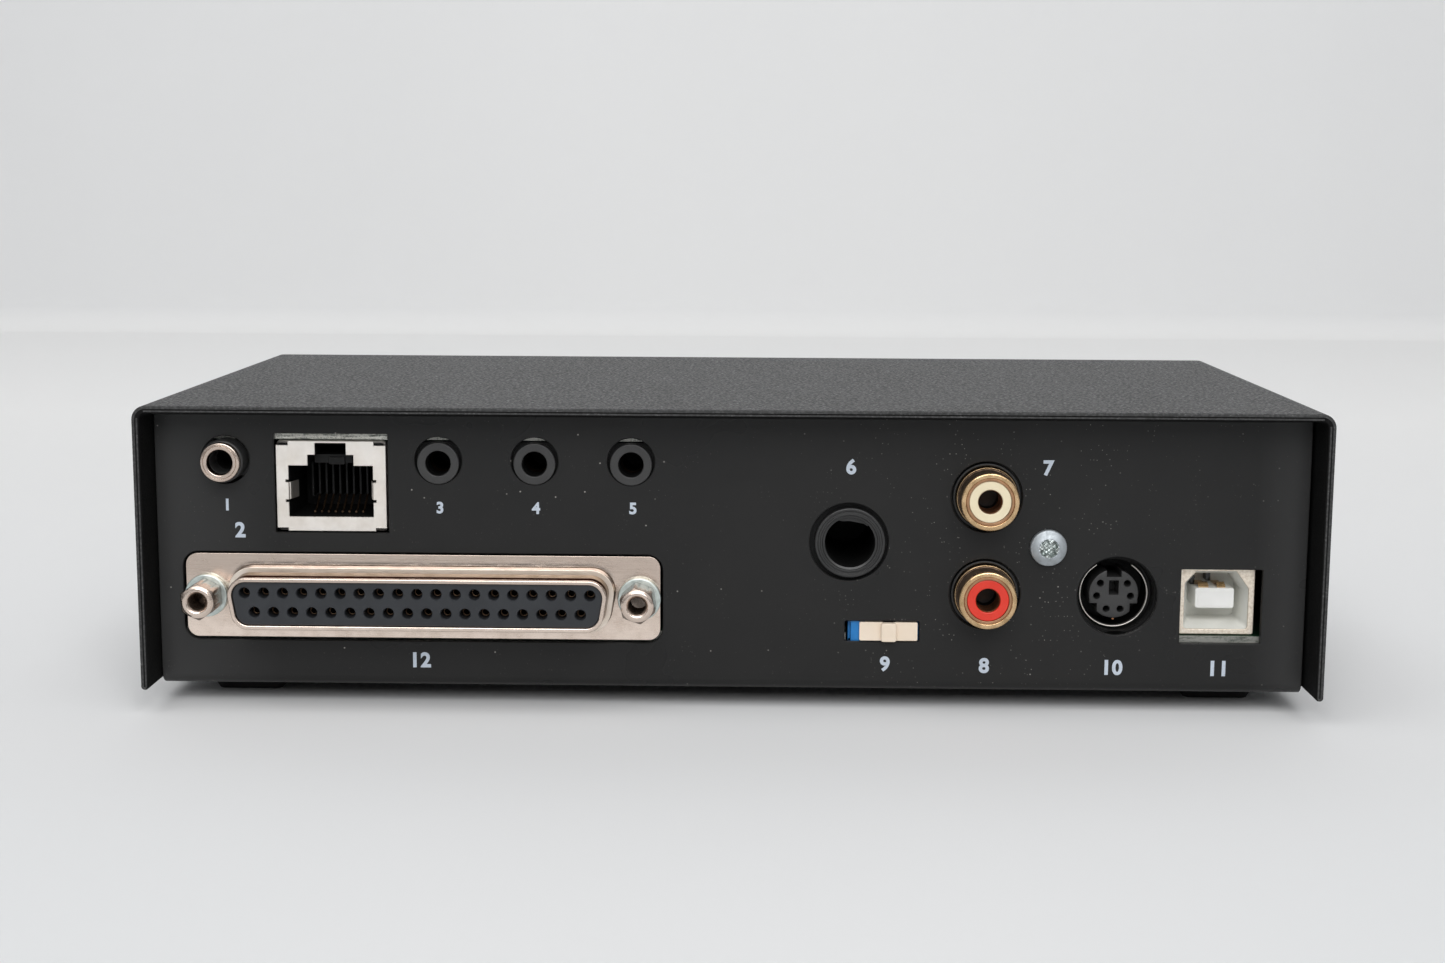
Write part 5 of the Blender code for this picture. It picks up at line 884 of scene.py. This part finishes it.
def make_modular_socket():
    """The shield's pierced face with eased edges, its box behind, and its bent side springs."""
    x, _, z = middle("modular_socket_shield")
    face, back = -0.4, -12.9
    made = Piece("socket_shield", on_rear(x, z))
    box = rectangle(16.05, 13.26, (0.07, -0.04))
    (p, q), (r, s) = (1.75, 0.62), (1.6, 0.45)      # bitten out of the upper and the lower corners
    bites = [(0, s), (r, s), (r, 0), (-r, 0), (-r, s), (0, s), (0, -q), (-p, -q), (-p, 0), (p, 0), (p, -q),
             (0, -q)]
    outer = eased(np.repeat(box, 3, 0) + bites)
    mouth = eased(mouth_corners())
    made.wrap(outer, [(0, face - 0.3), (0, face - 0.05), (-0.05, face)])
    made.wrap(mouth, [(0.05, face), (0, face - 0.05), (0, face - 0.3)])
    made.face([offset(outer, -0.05), offset(mouth, 0.05)], face)
    made.face([outer[0], mouth[0]], face - 0.3, -1)
    made.wrap(eased(box, 0.5, 5), [(-0.3, -15.9), (0, -15.9), (0, -1.0), (-0.3, -0.75)], (0, 0.1, 0.3, 0))
    t = np.linspace(0, 1, 24)[:, None]
    bend, run = np.clip(t * 3, 0, 1) * math.pi / 2, np.clip(t * 1.5 - 0.5, 0, 1)
    for sign in (-1, 1):
        a = sign * (6.19 - 0.25 * (1 - np.cos(bend)) - 0.6 * run)
        grid = grid_of(a, np.array([[-2.02, 0.48]]), face - 0.01 - 0.4 * np.sin(bend) - 2.6 * run)
        made.patch(grid[:, ::sign], ring=False)
        made.patch(grid[:, ::-sign] + (sign * 0.15, 0, 0), ring=False)
    made.done("nickel", "modular_socket_shield", PALE_NICKEL)

    body = Piece("socket_body", on_rear(x, z))
    shell = eased(rectangle(15.3, 12.4), 0.4, 3)
    cavity = eased(mouth_corners(0.06, False))
    front = face - 0.45
    body.wrap(shell, [(0, -15.8), (0, front), (-0.2, front)], 0.1, 2, foot=True)
    body.face([offset(shell, -0.2), cavity[0]], front)
    body.wrap(cavity, [(0, front), (0, back)])
    body.face([cavity[0]], back)
    for number in range(9):
        spot = on_rear(x + (number - 4) * WIRE_PITCH, z)
        body.bar(0.3, 5.2, -12.8, -7.0, 0.1, 0.04, (0, 0.1), place=spot)
    body.bar(5.6, 1.3, -12.8, -2.6, 0.2, 0.08, (0.0, 3.72))
    body.bar(2.4, 1.1, -12.8, -2.2, 0.2, 0.08, (0.55, 3.45))
    # The body, seen only through the mouth, in the near-black: painted shade.
    body.done("black_plastic", "modular_socket_body", PIT_BLACK_PAINTED_SHADE)

    wires = Piece("socket_wires", on_rear(x, z))
    t = np.linspace(0, 1, 28)[:, None]
    thick, around = 0.17, full_turn(10)[None]
    b = -4.25 + 5.2 * np.clip(t - 0.1, 0, 1) + thick * np.sin(around)
    for number in range(8):
        a = (number - 3.5) * WIRE_PITCH + 0.5 + thick * np.cos(around)
        wires.patch(grid_of(a, b, -3.4 - 7.6 * t)[::-1], foot=True, end=True)
    # The wires in the cavity in the dark bronze: painted shade.
    wires.done("gold_plate", None, AGED_BRONZE_PAINTED_SHADE)


# The phono sockets, the round socket and the USB socket


def make_phono():
    """Two gold shells with rolled lips round white and red cores, on one black housing."""
    housing = Piece("phono_block")
    for (x, z), row, colour, slot in zip(PHONO, ("upper", "lower"), (IVORY, SIGNAL_RED),
                                         ("white_plastic", "red_plastic")):
        place = on_rear(x, z)
        housing.turned([(4.9, -1.5), (4.9, -0.12), (4.52, -0.12), (4.52, -1.5)], (0, 0.16, 0.12, 0), 4, 80,
                       place=place)
        shell = Piece(f"gold_shell_{row}", place)
        shell.turned([(4.4, -6.0), (4.42, 0.9), (4.34, 0.95)], 0.05, 3, 112)
        # The barrel behind the lip in the darker gold: tarnish and painted shade.
        shell.turned([(4.34, 0.95), (4.1, 0.8), (4.1, 3.9)], 0.1, 4, 112, paint=1)
        shell.turned([(4.1, 3.9), (4.22, 5.0), (3.5, 5.0), (3.44, 4.84)], (0, 0.6, 0.1, 0), 9, 112)
        shell.turned([(3.44, 4.84), (3.38, 4.92), (3.04, 4.9), (3.03, 3.6), (3.5, 3.5), (3.5, -6.0),
                      (4.4, -6.0)], (0, 0.05, 0.06, 0, 0, 0, 0), 4, 112, paint=2)
        shell.done("gold_plate", f"phono_shell_{row}", GOLD, TARNISHED_GOLD_PAINTED_SHADE, ROSE_GOLD)
        core = Piece(f"phono_core_{row}", place)
        core.turned([(3.4, -6.0), (3.4, 3.4), (3.01, 3.5), (3.0, 4.82), (1.76, 4.82), (1.74, -5.2),
                     (0, -5.2)], (0, 0.08, 0.05, 0.14, 0.16, 0, 0), 5, 96)
        core.done(slot, f"phono_insulator_{row}", colour)
        sleeve = Piece(f"phono_sleeve_{row}", place)
        sleeve.turned([(1.735, 4.5), (1.62, 4.3), (1.58, 0.4)], 0.1)
        # The sleeve's deeper part in the near-black: painted shade down the bore.
        sleeve.turned([(1.58, 0.4), (1.55, -3.0), (0, -3.0)], paint=1)
        sleeve.done("gold_plate", None, BROWN_SPRING, PIT_BLACK_PAINTED_SHADE)
    low, high = extent("phono_housing")
    x, z = PHONO_SCREW
    housing.bar(13.0, high[2] - low[2], -6.5, 6.5, 0.6, 0.25,
                place=seat((PHONO[0][0], (low[1] + 1.3 + high[1]) / 2, (low[2] + high[2]) / 2), REARWARD))
    housing.bar(9.8, 5.8, -3.0, 3.0, 2.6, 0.2, place=on_rear(x - 2.0, z, 4.4))
    housing.done("black_plastic", "phono_housing", DULL_BLACK)
    screw = Piece("phono_fixing_screw", on_rear(x, z, -0.1))
    pan_head(screw, wear=1.0, turn=0.6)
    screw.done("zinc_steel", "phono_screw", BRIGHT_ZINC, SCUFFED_ZINC)


def core_outline():
    """The round socket's core: a circle with a wide notch on top and a square bite at each side."""
    radius, notch, bite = 3.6, 1.05, 2.42

    def arc(start, end, count):
        turn = np.radians(np.linspace(start, end, count))
        return radius * np.stack([np.cos(turn), np.sin(turn)], 1)

    def leaving(x):
        return math.degrees(math.acos(x / radius))

    right = np.vstack([arc(-90, -leaving(bite), 14), [(bite, -1.45), (3.5, -1.45)],
                       arc(-12, leaving(notch), 28), [(notch, 2.5)]])
    line = np.vstack([right, right[::-1][:-1] * (-1, 1)])
    return eased(line[np.linalg.norm(np.roll(line, -1, 0) - line, axis=1) > 1e-3])


def make_round_socket():
    """A body with a deep ring-shaped well, a notched and pierced core, and an open metal ring."""
    low, high = extent("remote_socket_body")
    front, floor, face, deep = -1.35, -8.3, -2.6, -6.6
    body = Piece("round_socket_body", on_rear(*REMOTE))
    outer = eased(rectangle(13.6, high[2] - low[2], (0, (low[2] + high[2]) / 2 - REMOTE[1])), 0.6, 4)
    body.wrap(outer, [(0, -13.9), (0, front), (-0.3, front)], 0.15, 3, foot=True)
    body.face([offset(outer, -0.3), circle(96, 5.6)[0]], front)
    body.turned([(5.6, front), (5.5, front - 0.15), (5.45, -3.5), (4.9, -3.55), (4.88, floor), (3.0, floor)],
                (0, 0.1, 0.1, 0.1, 0, 0), 4, 96)
    # The body and its well in the near-black: painted shade.
    body.done("black_plastic", "remote_socket_body", PIT_BLACK_PAINTED_SHADE)

    place = on_rear(REMOTE[0] - 0.1, REMOTE[1] - 0.13)
    core = Piece("round_socket_core", place)
    outline = core_outline()
    core.wrap(outline, [(0, floor), (0, face - 0.12), (-0.03, face - 0.04), (-0.12, face)])
    turns = np.radians((-66, -114, -8, 188, 38, 142))
    pins = 2.5 * np.stack([np.cos(turns), np.sin(turns)], 1)
    key = eased(rectangle(1.4, 2.1, (0, 0.9)), 0.08, 2)
    core.face([offset(outline, -0.12), offset(key, 0.05)] + [circle(24, 0.56, pin)[0] for pin in pins], face)
    core.wrap(key, [(0.05, face), (0, face - 0.05), (0, deep)], end=True)
    for pin in pins:
        core.wrap(circle(24, 0, pin), [(0.56, face), (0.48, face - 0.1), (0.48, deep)], end=True)
    core.done("black_plastic", None, SOCKET_BLACK)

    ring = Piece("round_socket_ring", place)
    gap = math.radians(31)
    turn = np.linspace(math.pi / 2 + gap, math.pi * 2.5 - gap, 120)[:, None]
    edge = section([(4.84, -3.6), (5.0, -3.6), (5.0, -2.85), (4.84, -2.85)], 0.06, 3, True)[None]
    ring.patch(polar(edge[..., 0], turn, edge[..., 1])[::-1], foot=True, end=True)
    ring.done("nickel", "remote_socket_ring", PALE_NICKEL)

    tip = Piece("round_socket_contact", on_rear(REMOTE[0], REMOTE[1] - 4.0))
    tip.bar(0.4, 0.26, -7.5, -3.3, 0.1, 0.04)
    tip.done("gold_plate", None, COPPER)


def make_usb():
    """The folded shell, its pale lining with cut corners, the white tongue and its contacts."""
    x, _, z = middle("usb_shell")
    place = on_rear(x, z - 0.12)
    face, floor = -2.0, -8.6
    easing = (0.5, 0.5, 0.25, 0.2, 0.2, 0.25), 5
    mouth = eased([(-4.7, -4.15), (4.66, -4.15), (4.66, 1.95), (2.8, 4.5), (-3.05, 4.5), (-4.7, 2.7)],
                  *easing)
    outer = eased(rectangle(11.05, 9.85), 0.35, 5)
    shell = Piece("folded_shell", place)
    shell.wrap(outer, [(-0.3, -18.0), (0, -18.0), (0, face), (-0.3, face)], (0, 0.1, 0.14, 0), foot=True)
    shell.face([offset(outer, -0.3), offset(mouth, 0.12)], face)
    shell.wrap(mouth, [(0.12, face), (0, face), (0, face - 0.9)], 0.1, 3)
    shell.done("nickel", "usb_shell", TINNED)

    inside = Piece("pale_lining", place)
    throat = eased([(-3.95, -3.35), (3.9, -3.35), (3.9, 1.6), (2.35, 3.85), (-2.7, 3.85), (-3.95, 2.4)],
                   *easing)
    inside.patch(np.concatenate([carried(mouth, [(-0.02, face - 0.32)]),
                                 carried(throat, [(0, face - 2.2), (0, floor)])]))
    inside.face([throat[0]], floor)
    inside.done("white_plastic", None, LINING)

    tongue = Piece("white_tongue", place)
    tongue.bar(5.68, 3.0, floor - 0.1, face - 1.0, 0.3, 0.14, (-0.07, 0.3))
    tongue.bar(4.9, 2.3, -4.0, face - 0.94, 0.25, 0.05, (-0.07, 0.25))
    tongue.done("white_plastic", "usb_insulator", MILK_WHITE)

    # Black bars in the lining's dark gaps: painted shade.
    slots = Piece("slot_gaps_painted_shade", place)
    slots.bar(0.7, 1.6, floor - 0.1, -6.6, 0.1, 0.04, (-0.35, 3.0))
    slots.bar(0.7, 1.3, floor - 0.1, -5.6, 0.1, 0.04, (-2.9, 2.5))
    slots.done("black_plastic", None, GLOSS_BLACK)

    contacts = Piece("gold_blades", place)
    t = np.linspace(0, 1, 20)[:, None]
    bent = 1.84 + 0.52 * np.sin(np.pi * np.clip((t - 0.5) / 0.5, 0, 1))
    for a, wide, sign in ((-1.65, 0.75, 1), (0.95, 0.6, 1), (-1.25, 0.55, -1), (1.25, 0.55, -1)):
        across = a + wide * np.array([[-1, 1, 1, -1]])
        up = np.array([[-0.08, -0.08, 0.08, 0.08]])
        height = 0.3 + sign * ((bent if sign > 0 else 1.6) - 0.3 + up)
        contacts.patch(grid_of(across, height, -8.5 + 5.1 * t)[:, ::sign], foot=True, end=True)
    contacts.done("gold_plate", None, GOLD)


def make_switch():
    """The blue switch behind its slot, and the cream lever with a nub in its middle."""
    body = Piece("blue_switch", on_rear(middle("mode_switch_body")[0], SWITCH_Z))
    low, high = extent("mode_switch_slider")
    lever = Piece("cream_lever", on_rear((low[0] + high[0]) / 2, (low[2] + high[2]) / 2))
    body.bar(10.4, 4.4, -7.4, -2.9, 0.3)
    for width, height, centre in ((10.4, 0.9, (0, 1.75)), (10.4, 0.9, (0, -1.75)), (2.0, 4.4, (-4.2, 0)),
                                  (1.9, 4.4, (4.25, 0))):
        body.bar(width, height, -3.4, -1.4, 0.2, 0.08, centre)
    body.bar(2.1, 3.6, -3.4, -0.55, 0.2, 0.1, (-3.75, 0))
    lever.bar(8.5, 2.74, -1.1, 0.12, 0.22, 0.09)
    lever.bar(2.2, 2.74, -0.9, 1.0, 0.3, 0.14)
    lever.bar(3.0, 1.4, -3.1, -0.9, 0.2, 0.08)
    body.done("blue_plastic", "mode_switch_body", SWITCH_BLUE)
    lever.done("cream_plastic", "mode_switch_slider", CREAM, body="switch_lever")


# The front panel


def make_speed_knob():
    """A tapered fluted knob: r falls from foot to face, less a rounded flute twelve times round."""
    low, high = extent("speed_knob")
    foot, face = low[1] - FRONT_Y, high[1] - FRONT_Y
    place = on_front(*SPEED)
    columns, flutes, hub, bore = 288, 12, foot + 3.4, foot + 10.4
    made = Piece("fluted_knob", place)
    around = full_turn(columns)[None]
    line = section([(7.3, foot), (7.5, foot + 0.2), (7.36, foot + 1.9), (7.1, foot + 2.1), (6.6, face),
                    (5.6, face)], (0, 0.15, 0.15, 0.1, 0.75, 0), 7)
    base, rise = line[:, :1], line[:, 1:]
    flute = np.clip(np.cos(flutes * around) * 1.6 - 0.75, 0, 1)
    depth = 0.55 * np.clip((rise - foot - 2.1) / 0.9, 0, 1) * np.clip((base - 5.7) / 0.5, 0, 1)
    made.patch(polar(base - depth * flute, around, rise))
    made.turned([(5.6, face), (5.2, face - 0.25), (0, face - 0.25)], 0.25, 4, columns)
    made.turned([(0, bore), (3.3, bore), (3.3, hub), (3.85, hub), (3.85, foot), (7.3, foot)],
                (0, 0, 0, 0, 0.2, 0), 3, columns)
    made.done("black_plastic", "speed_knob", SOCKET_BLACK, body="speed_control")
    mark = Piece("knob_line", place)
    mark.bar(0.75, 4.4, face - 0.3, face - 0.2, 0.3, 0.03, (0, 2.75))
    mark.bar(0.75, 0.35, face - 2.6, face - 0.02, 0.12, 0.05, (0, 6.42))
    mark.done("white_plastic", None, PRINT, body="speed_control")

    nut = Piece("bush_nut", place)
    turn = math.pi / 6 + np.arange(6) * math.pi / 3
    hexagon = eased(10.0 / math.sqrt(3) * np.stack([np.cos(turn), np.sin(turn)], 1), 0.2, 2)
    near, far, bush = 0.3, 2.3, 3.7
    nut.wrap(hexagon, [(-0.3, near), (0, near), (0, far), (-0.3, far)], 0.22)
    loops = [offset(hexagon, -0.3), circle(48, bush)[0]]
    nut.face(loops, far)
    nut.face(loops, near, -1)
    nut.turned([(bush, far), (bush, near)], count=48)
    nut.done("zinc_steel", "speed_pot_nut", ZINC)


def make_lamps():
    """Green lenses: a dome (R sin t, h - R + R cos t) above a straight side and a flange."""
    t = np.linspace(0, 1, 14)
    dome = np.stack([1.5 * np.sin(t * np.pi / 2), 1.2 - 1.5 + 1.5 * np.cos(t * np.pi / 2)], 1)[::-1]
    side = section([(0, -4.4), (1.9, -2.3), (1.9, -1.35), (1.5, -1.35), (1.5, -0.3)], (0, 0.1, 0.1, 0, 0), 3)
    for number, x in enumerate(LAMPS, 1):
        made = Piece(f"lamp_lens_{number}", on_front(x, SPEED[1]))
        made.turned(np.vstack([side, dome]), count=56)
        made.done("lamp_green", f"status_lamp_{number}", LENS)


def make_upper_board():
    """The plate over the jacks, pierced for its four screws, its underside just above the noses."""
    low, high = extent("upper_board")
    under, top, y = low[2] - 0.2, high[2], (low[1] + high[1]) / 2
    outline = eased(rectangle(high[0] - low[0], high[1] - low[1]), 0.5, 3)
    holes = [circle(32, 1.55, middle(node)[:2] - (0, y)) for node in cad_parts
             if node.startswith("board_screw")]
    made = Piece("upper_board_plate", seat((0, y, 0), UPWARD))
    made.wrap(outline, [(0, under), (0, top)])
    for hole in holes:
        made.wrap(hole, [(0, top), (0, under)])
    loops = [outline[0]] + [hole[0] for hole in holes]
    made.face(loops, top)
    made.face(loops, under, -1)
    made.done("board_green", "upper_board", board_laminate("laminate_upper_board", under, top, 0.88))


def finish_hidden_pieces():
    """The main board and what stands on it keep their CAD shapes, in finishes of their own."""
    low, high = extent("main_board")
    kinds = {"main_board": board_laminate("laminate_main_board", low[2], high[2], 0.3), "standoff": ZINC,
             "board_spacer": ZINC, "board_screw": ZINC, "microcontroller": EPOXY, "keying_relay": EPOXY,
             "board_link": DULL_BLACK, "speed_pot": ZINC}
    for node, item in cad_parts.items():
        for start, finish in kinds.items():
            if node.startswith(start):
                item.data.materials.clear()
                item.data.materials.append(finish)


# Camera, floor and light


def look_with_camera():
    """A 51 mm lens 294 mm behind the panel, a little above it, turned and tipped as in the photo."""
    yaw, pitch, roll = -0.0202, 0.1477, 0.005
    level = Matrix(((1, 0, 0), (0, 0, -1), (0, 1, 0)))
    right, down, ahead = (Matrix.Rotation(roll, 3, "Z") @ Matrix.Rotation(pitch, 3, "X")
                          @ Matrix.Rotation(-yaw, 3, "Y") @ level)
    camera = placed("camera", set_up(bpy.data.cameras.new("camera"), sensor_width=36, lens=51.149,
                                     clip_start=0.01))
    turn = Matrix((right, -down, -ahead)).transposed().to_4x4()
    camera.matrix_world = Matrix.Translation(Vector((4.739, -334.238, 77.528)) * MM) @ turn
    bpy.context.scene.camera = camera


def backdrop_paper():
    """Pale paper, painted a little darker in the near corners as painted shade, and paler towards the middle
    of the wall and far along the floor as painted light.
    """
    made = Finish("backdrop_paper", Roughness=0.9, Specular_IOR_Level=0.1)
    y = made.axis("Y")
    aside = made.away("X", 0.0)
    sheet = made.mixed(made.span(made.grain(160.0, 2), 0.3, 0.7), (0.795, 0.8, 0.805), (0.81, 0.815, 0.82))
    # Darker near the front corners: painted shade.
    corner = made.times(made.span(aside, 30.0, 100.0), made.span(y, -160.0, -60.0, 1.0, 0.0))
    sheet = made.mixed(corner, sheet, (0.745, 0.76, 0.77))
    pale = (0.94, 0.94, 0.935)
    # Paler towards the middle of the wall: a painted pool of light.
    wall = made.mixed(made.span(aside, 60.0, 360.0, 0.32, 0.03), sheet, pale)
    # Paler far along the floor: painted light.
    floor = made.mixed(made.span(y, 30.0, 330.0), sheet, pale)
    return made.give(made.mixed(made.span(made.axis("Z"), 1.0, 12.0), floor, wall))


def make_backdrop():
    """A sheet of paper: flat to 660 mm behind, then a quarter circle up into a wall, along X."""
    bend = np.linspace(0, np.pi / 2, 40)
    radius, start = 18.0, 664.0
    y = np.concatenate([[-9000, -900, start - 80], start + radius * np.sin(bend), [start + radius] * 2])
    z = np.concatenate([[0, 0, 0], radius * (1 - np.cos(bend)), [radius + 300, 2600]])
    made = Piece("studio_paper")
    made.patch(grid_of(np.array([[-6000.0, 6000.0]]), y[:, None], z[:, None]), ring=False)
    paper = made.mesh()
    paper.shade_smooth()
    paper.materials.append(backdrop_paper())
    placed("studio_paper", paper)


def hang_light(name, place, aim, width, height, strength):
    """A soft box: an area light at a place in metres, aimed at a point."""
    lamp = set_up(bpy.data.lights.new(name, "AREA"), shape="RECTANGLE", size=width, size_y=height,
                  energy=strength)
    way = Vector(aim) - Vector(place)
    set_up(placed(name, lamp), location=place, rotation_euler=way.to_track_quat("-Z", "Y").to_euler())


def light_studio():
    """Two soft boxes in a room that is dim as a light, and brighter to the eye and in reflections."""
    world = bpy.data.worlds.new("studio")
    world.use_nodes = True
    room = Pattern(world.node_tree)
    ground = room.tree.nodes["Background"].inputs
    ground["Color"].default_value = (0.97, 0.98, 1.0, 1)
    rays = room.step("ShaderNodeLightPath", {})
    way = room.step("ShaderNodeSeparateXYZ", {0: room.step("ShaderNodeTexCoord", {})["Generated"]})
    shown = room.higher(room.higher(rays["Is Camera Ray"], rays["Is Glossy Ray"]),
                        rays["Is Transmission Ray"])
    full = room.higher(room.span(way["Z"], 0.02, 0.42, 0.16, 0.68), room.span(way["Y"], -0.2, 0.1, 0.0, 0.68))
    room.tree.links.new(room.span(shown, 0.0, 1.0, 0.18, full), ground["Strength"])
    bpy.context.scene.world = world
    hang_light("overhead_box", (-0.1, -0.5, 1.25), (0, -0.1, 0), 1.6, 1.1, 9.2)
    hang_light("front_box", (0.1, -1.45, 0.95), (0, 0.05, 0.0), 1.4, 0.9, 16.5)
    bpy.context.scene.view_settings.view_transform = "Standard"


look_with_camera()
make_backdrop()
light_studio()
make_cover()
make_chassis()
for foot_node in ("foot_rear_left", "foot_rear_right", "foot_front_left", "foot_front_right"):
    make_foot(foot_node)
make_cover_screws()
make_numerals()
make_dsub_shell()
make_dsub_insulator()
make_jackscrew("left", -1, math.radians(4))
make_jackscrew("right", 1, math.radians(10))
make_ext_mic()
make_modular_socket()
for jack_node in AUDIO_JACKS:
    make_audio_jack(jack_node)
make_paddle_jack()
make_phono()
make_round_socket()
make_usb()
make_switch()
make_speed_knob()
make_lamps()
make_upper_board()
finish_hidden_pieces()
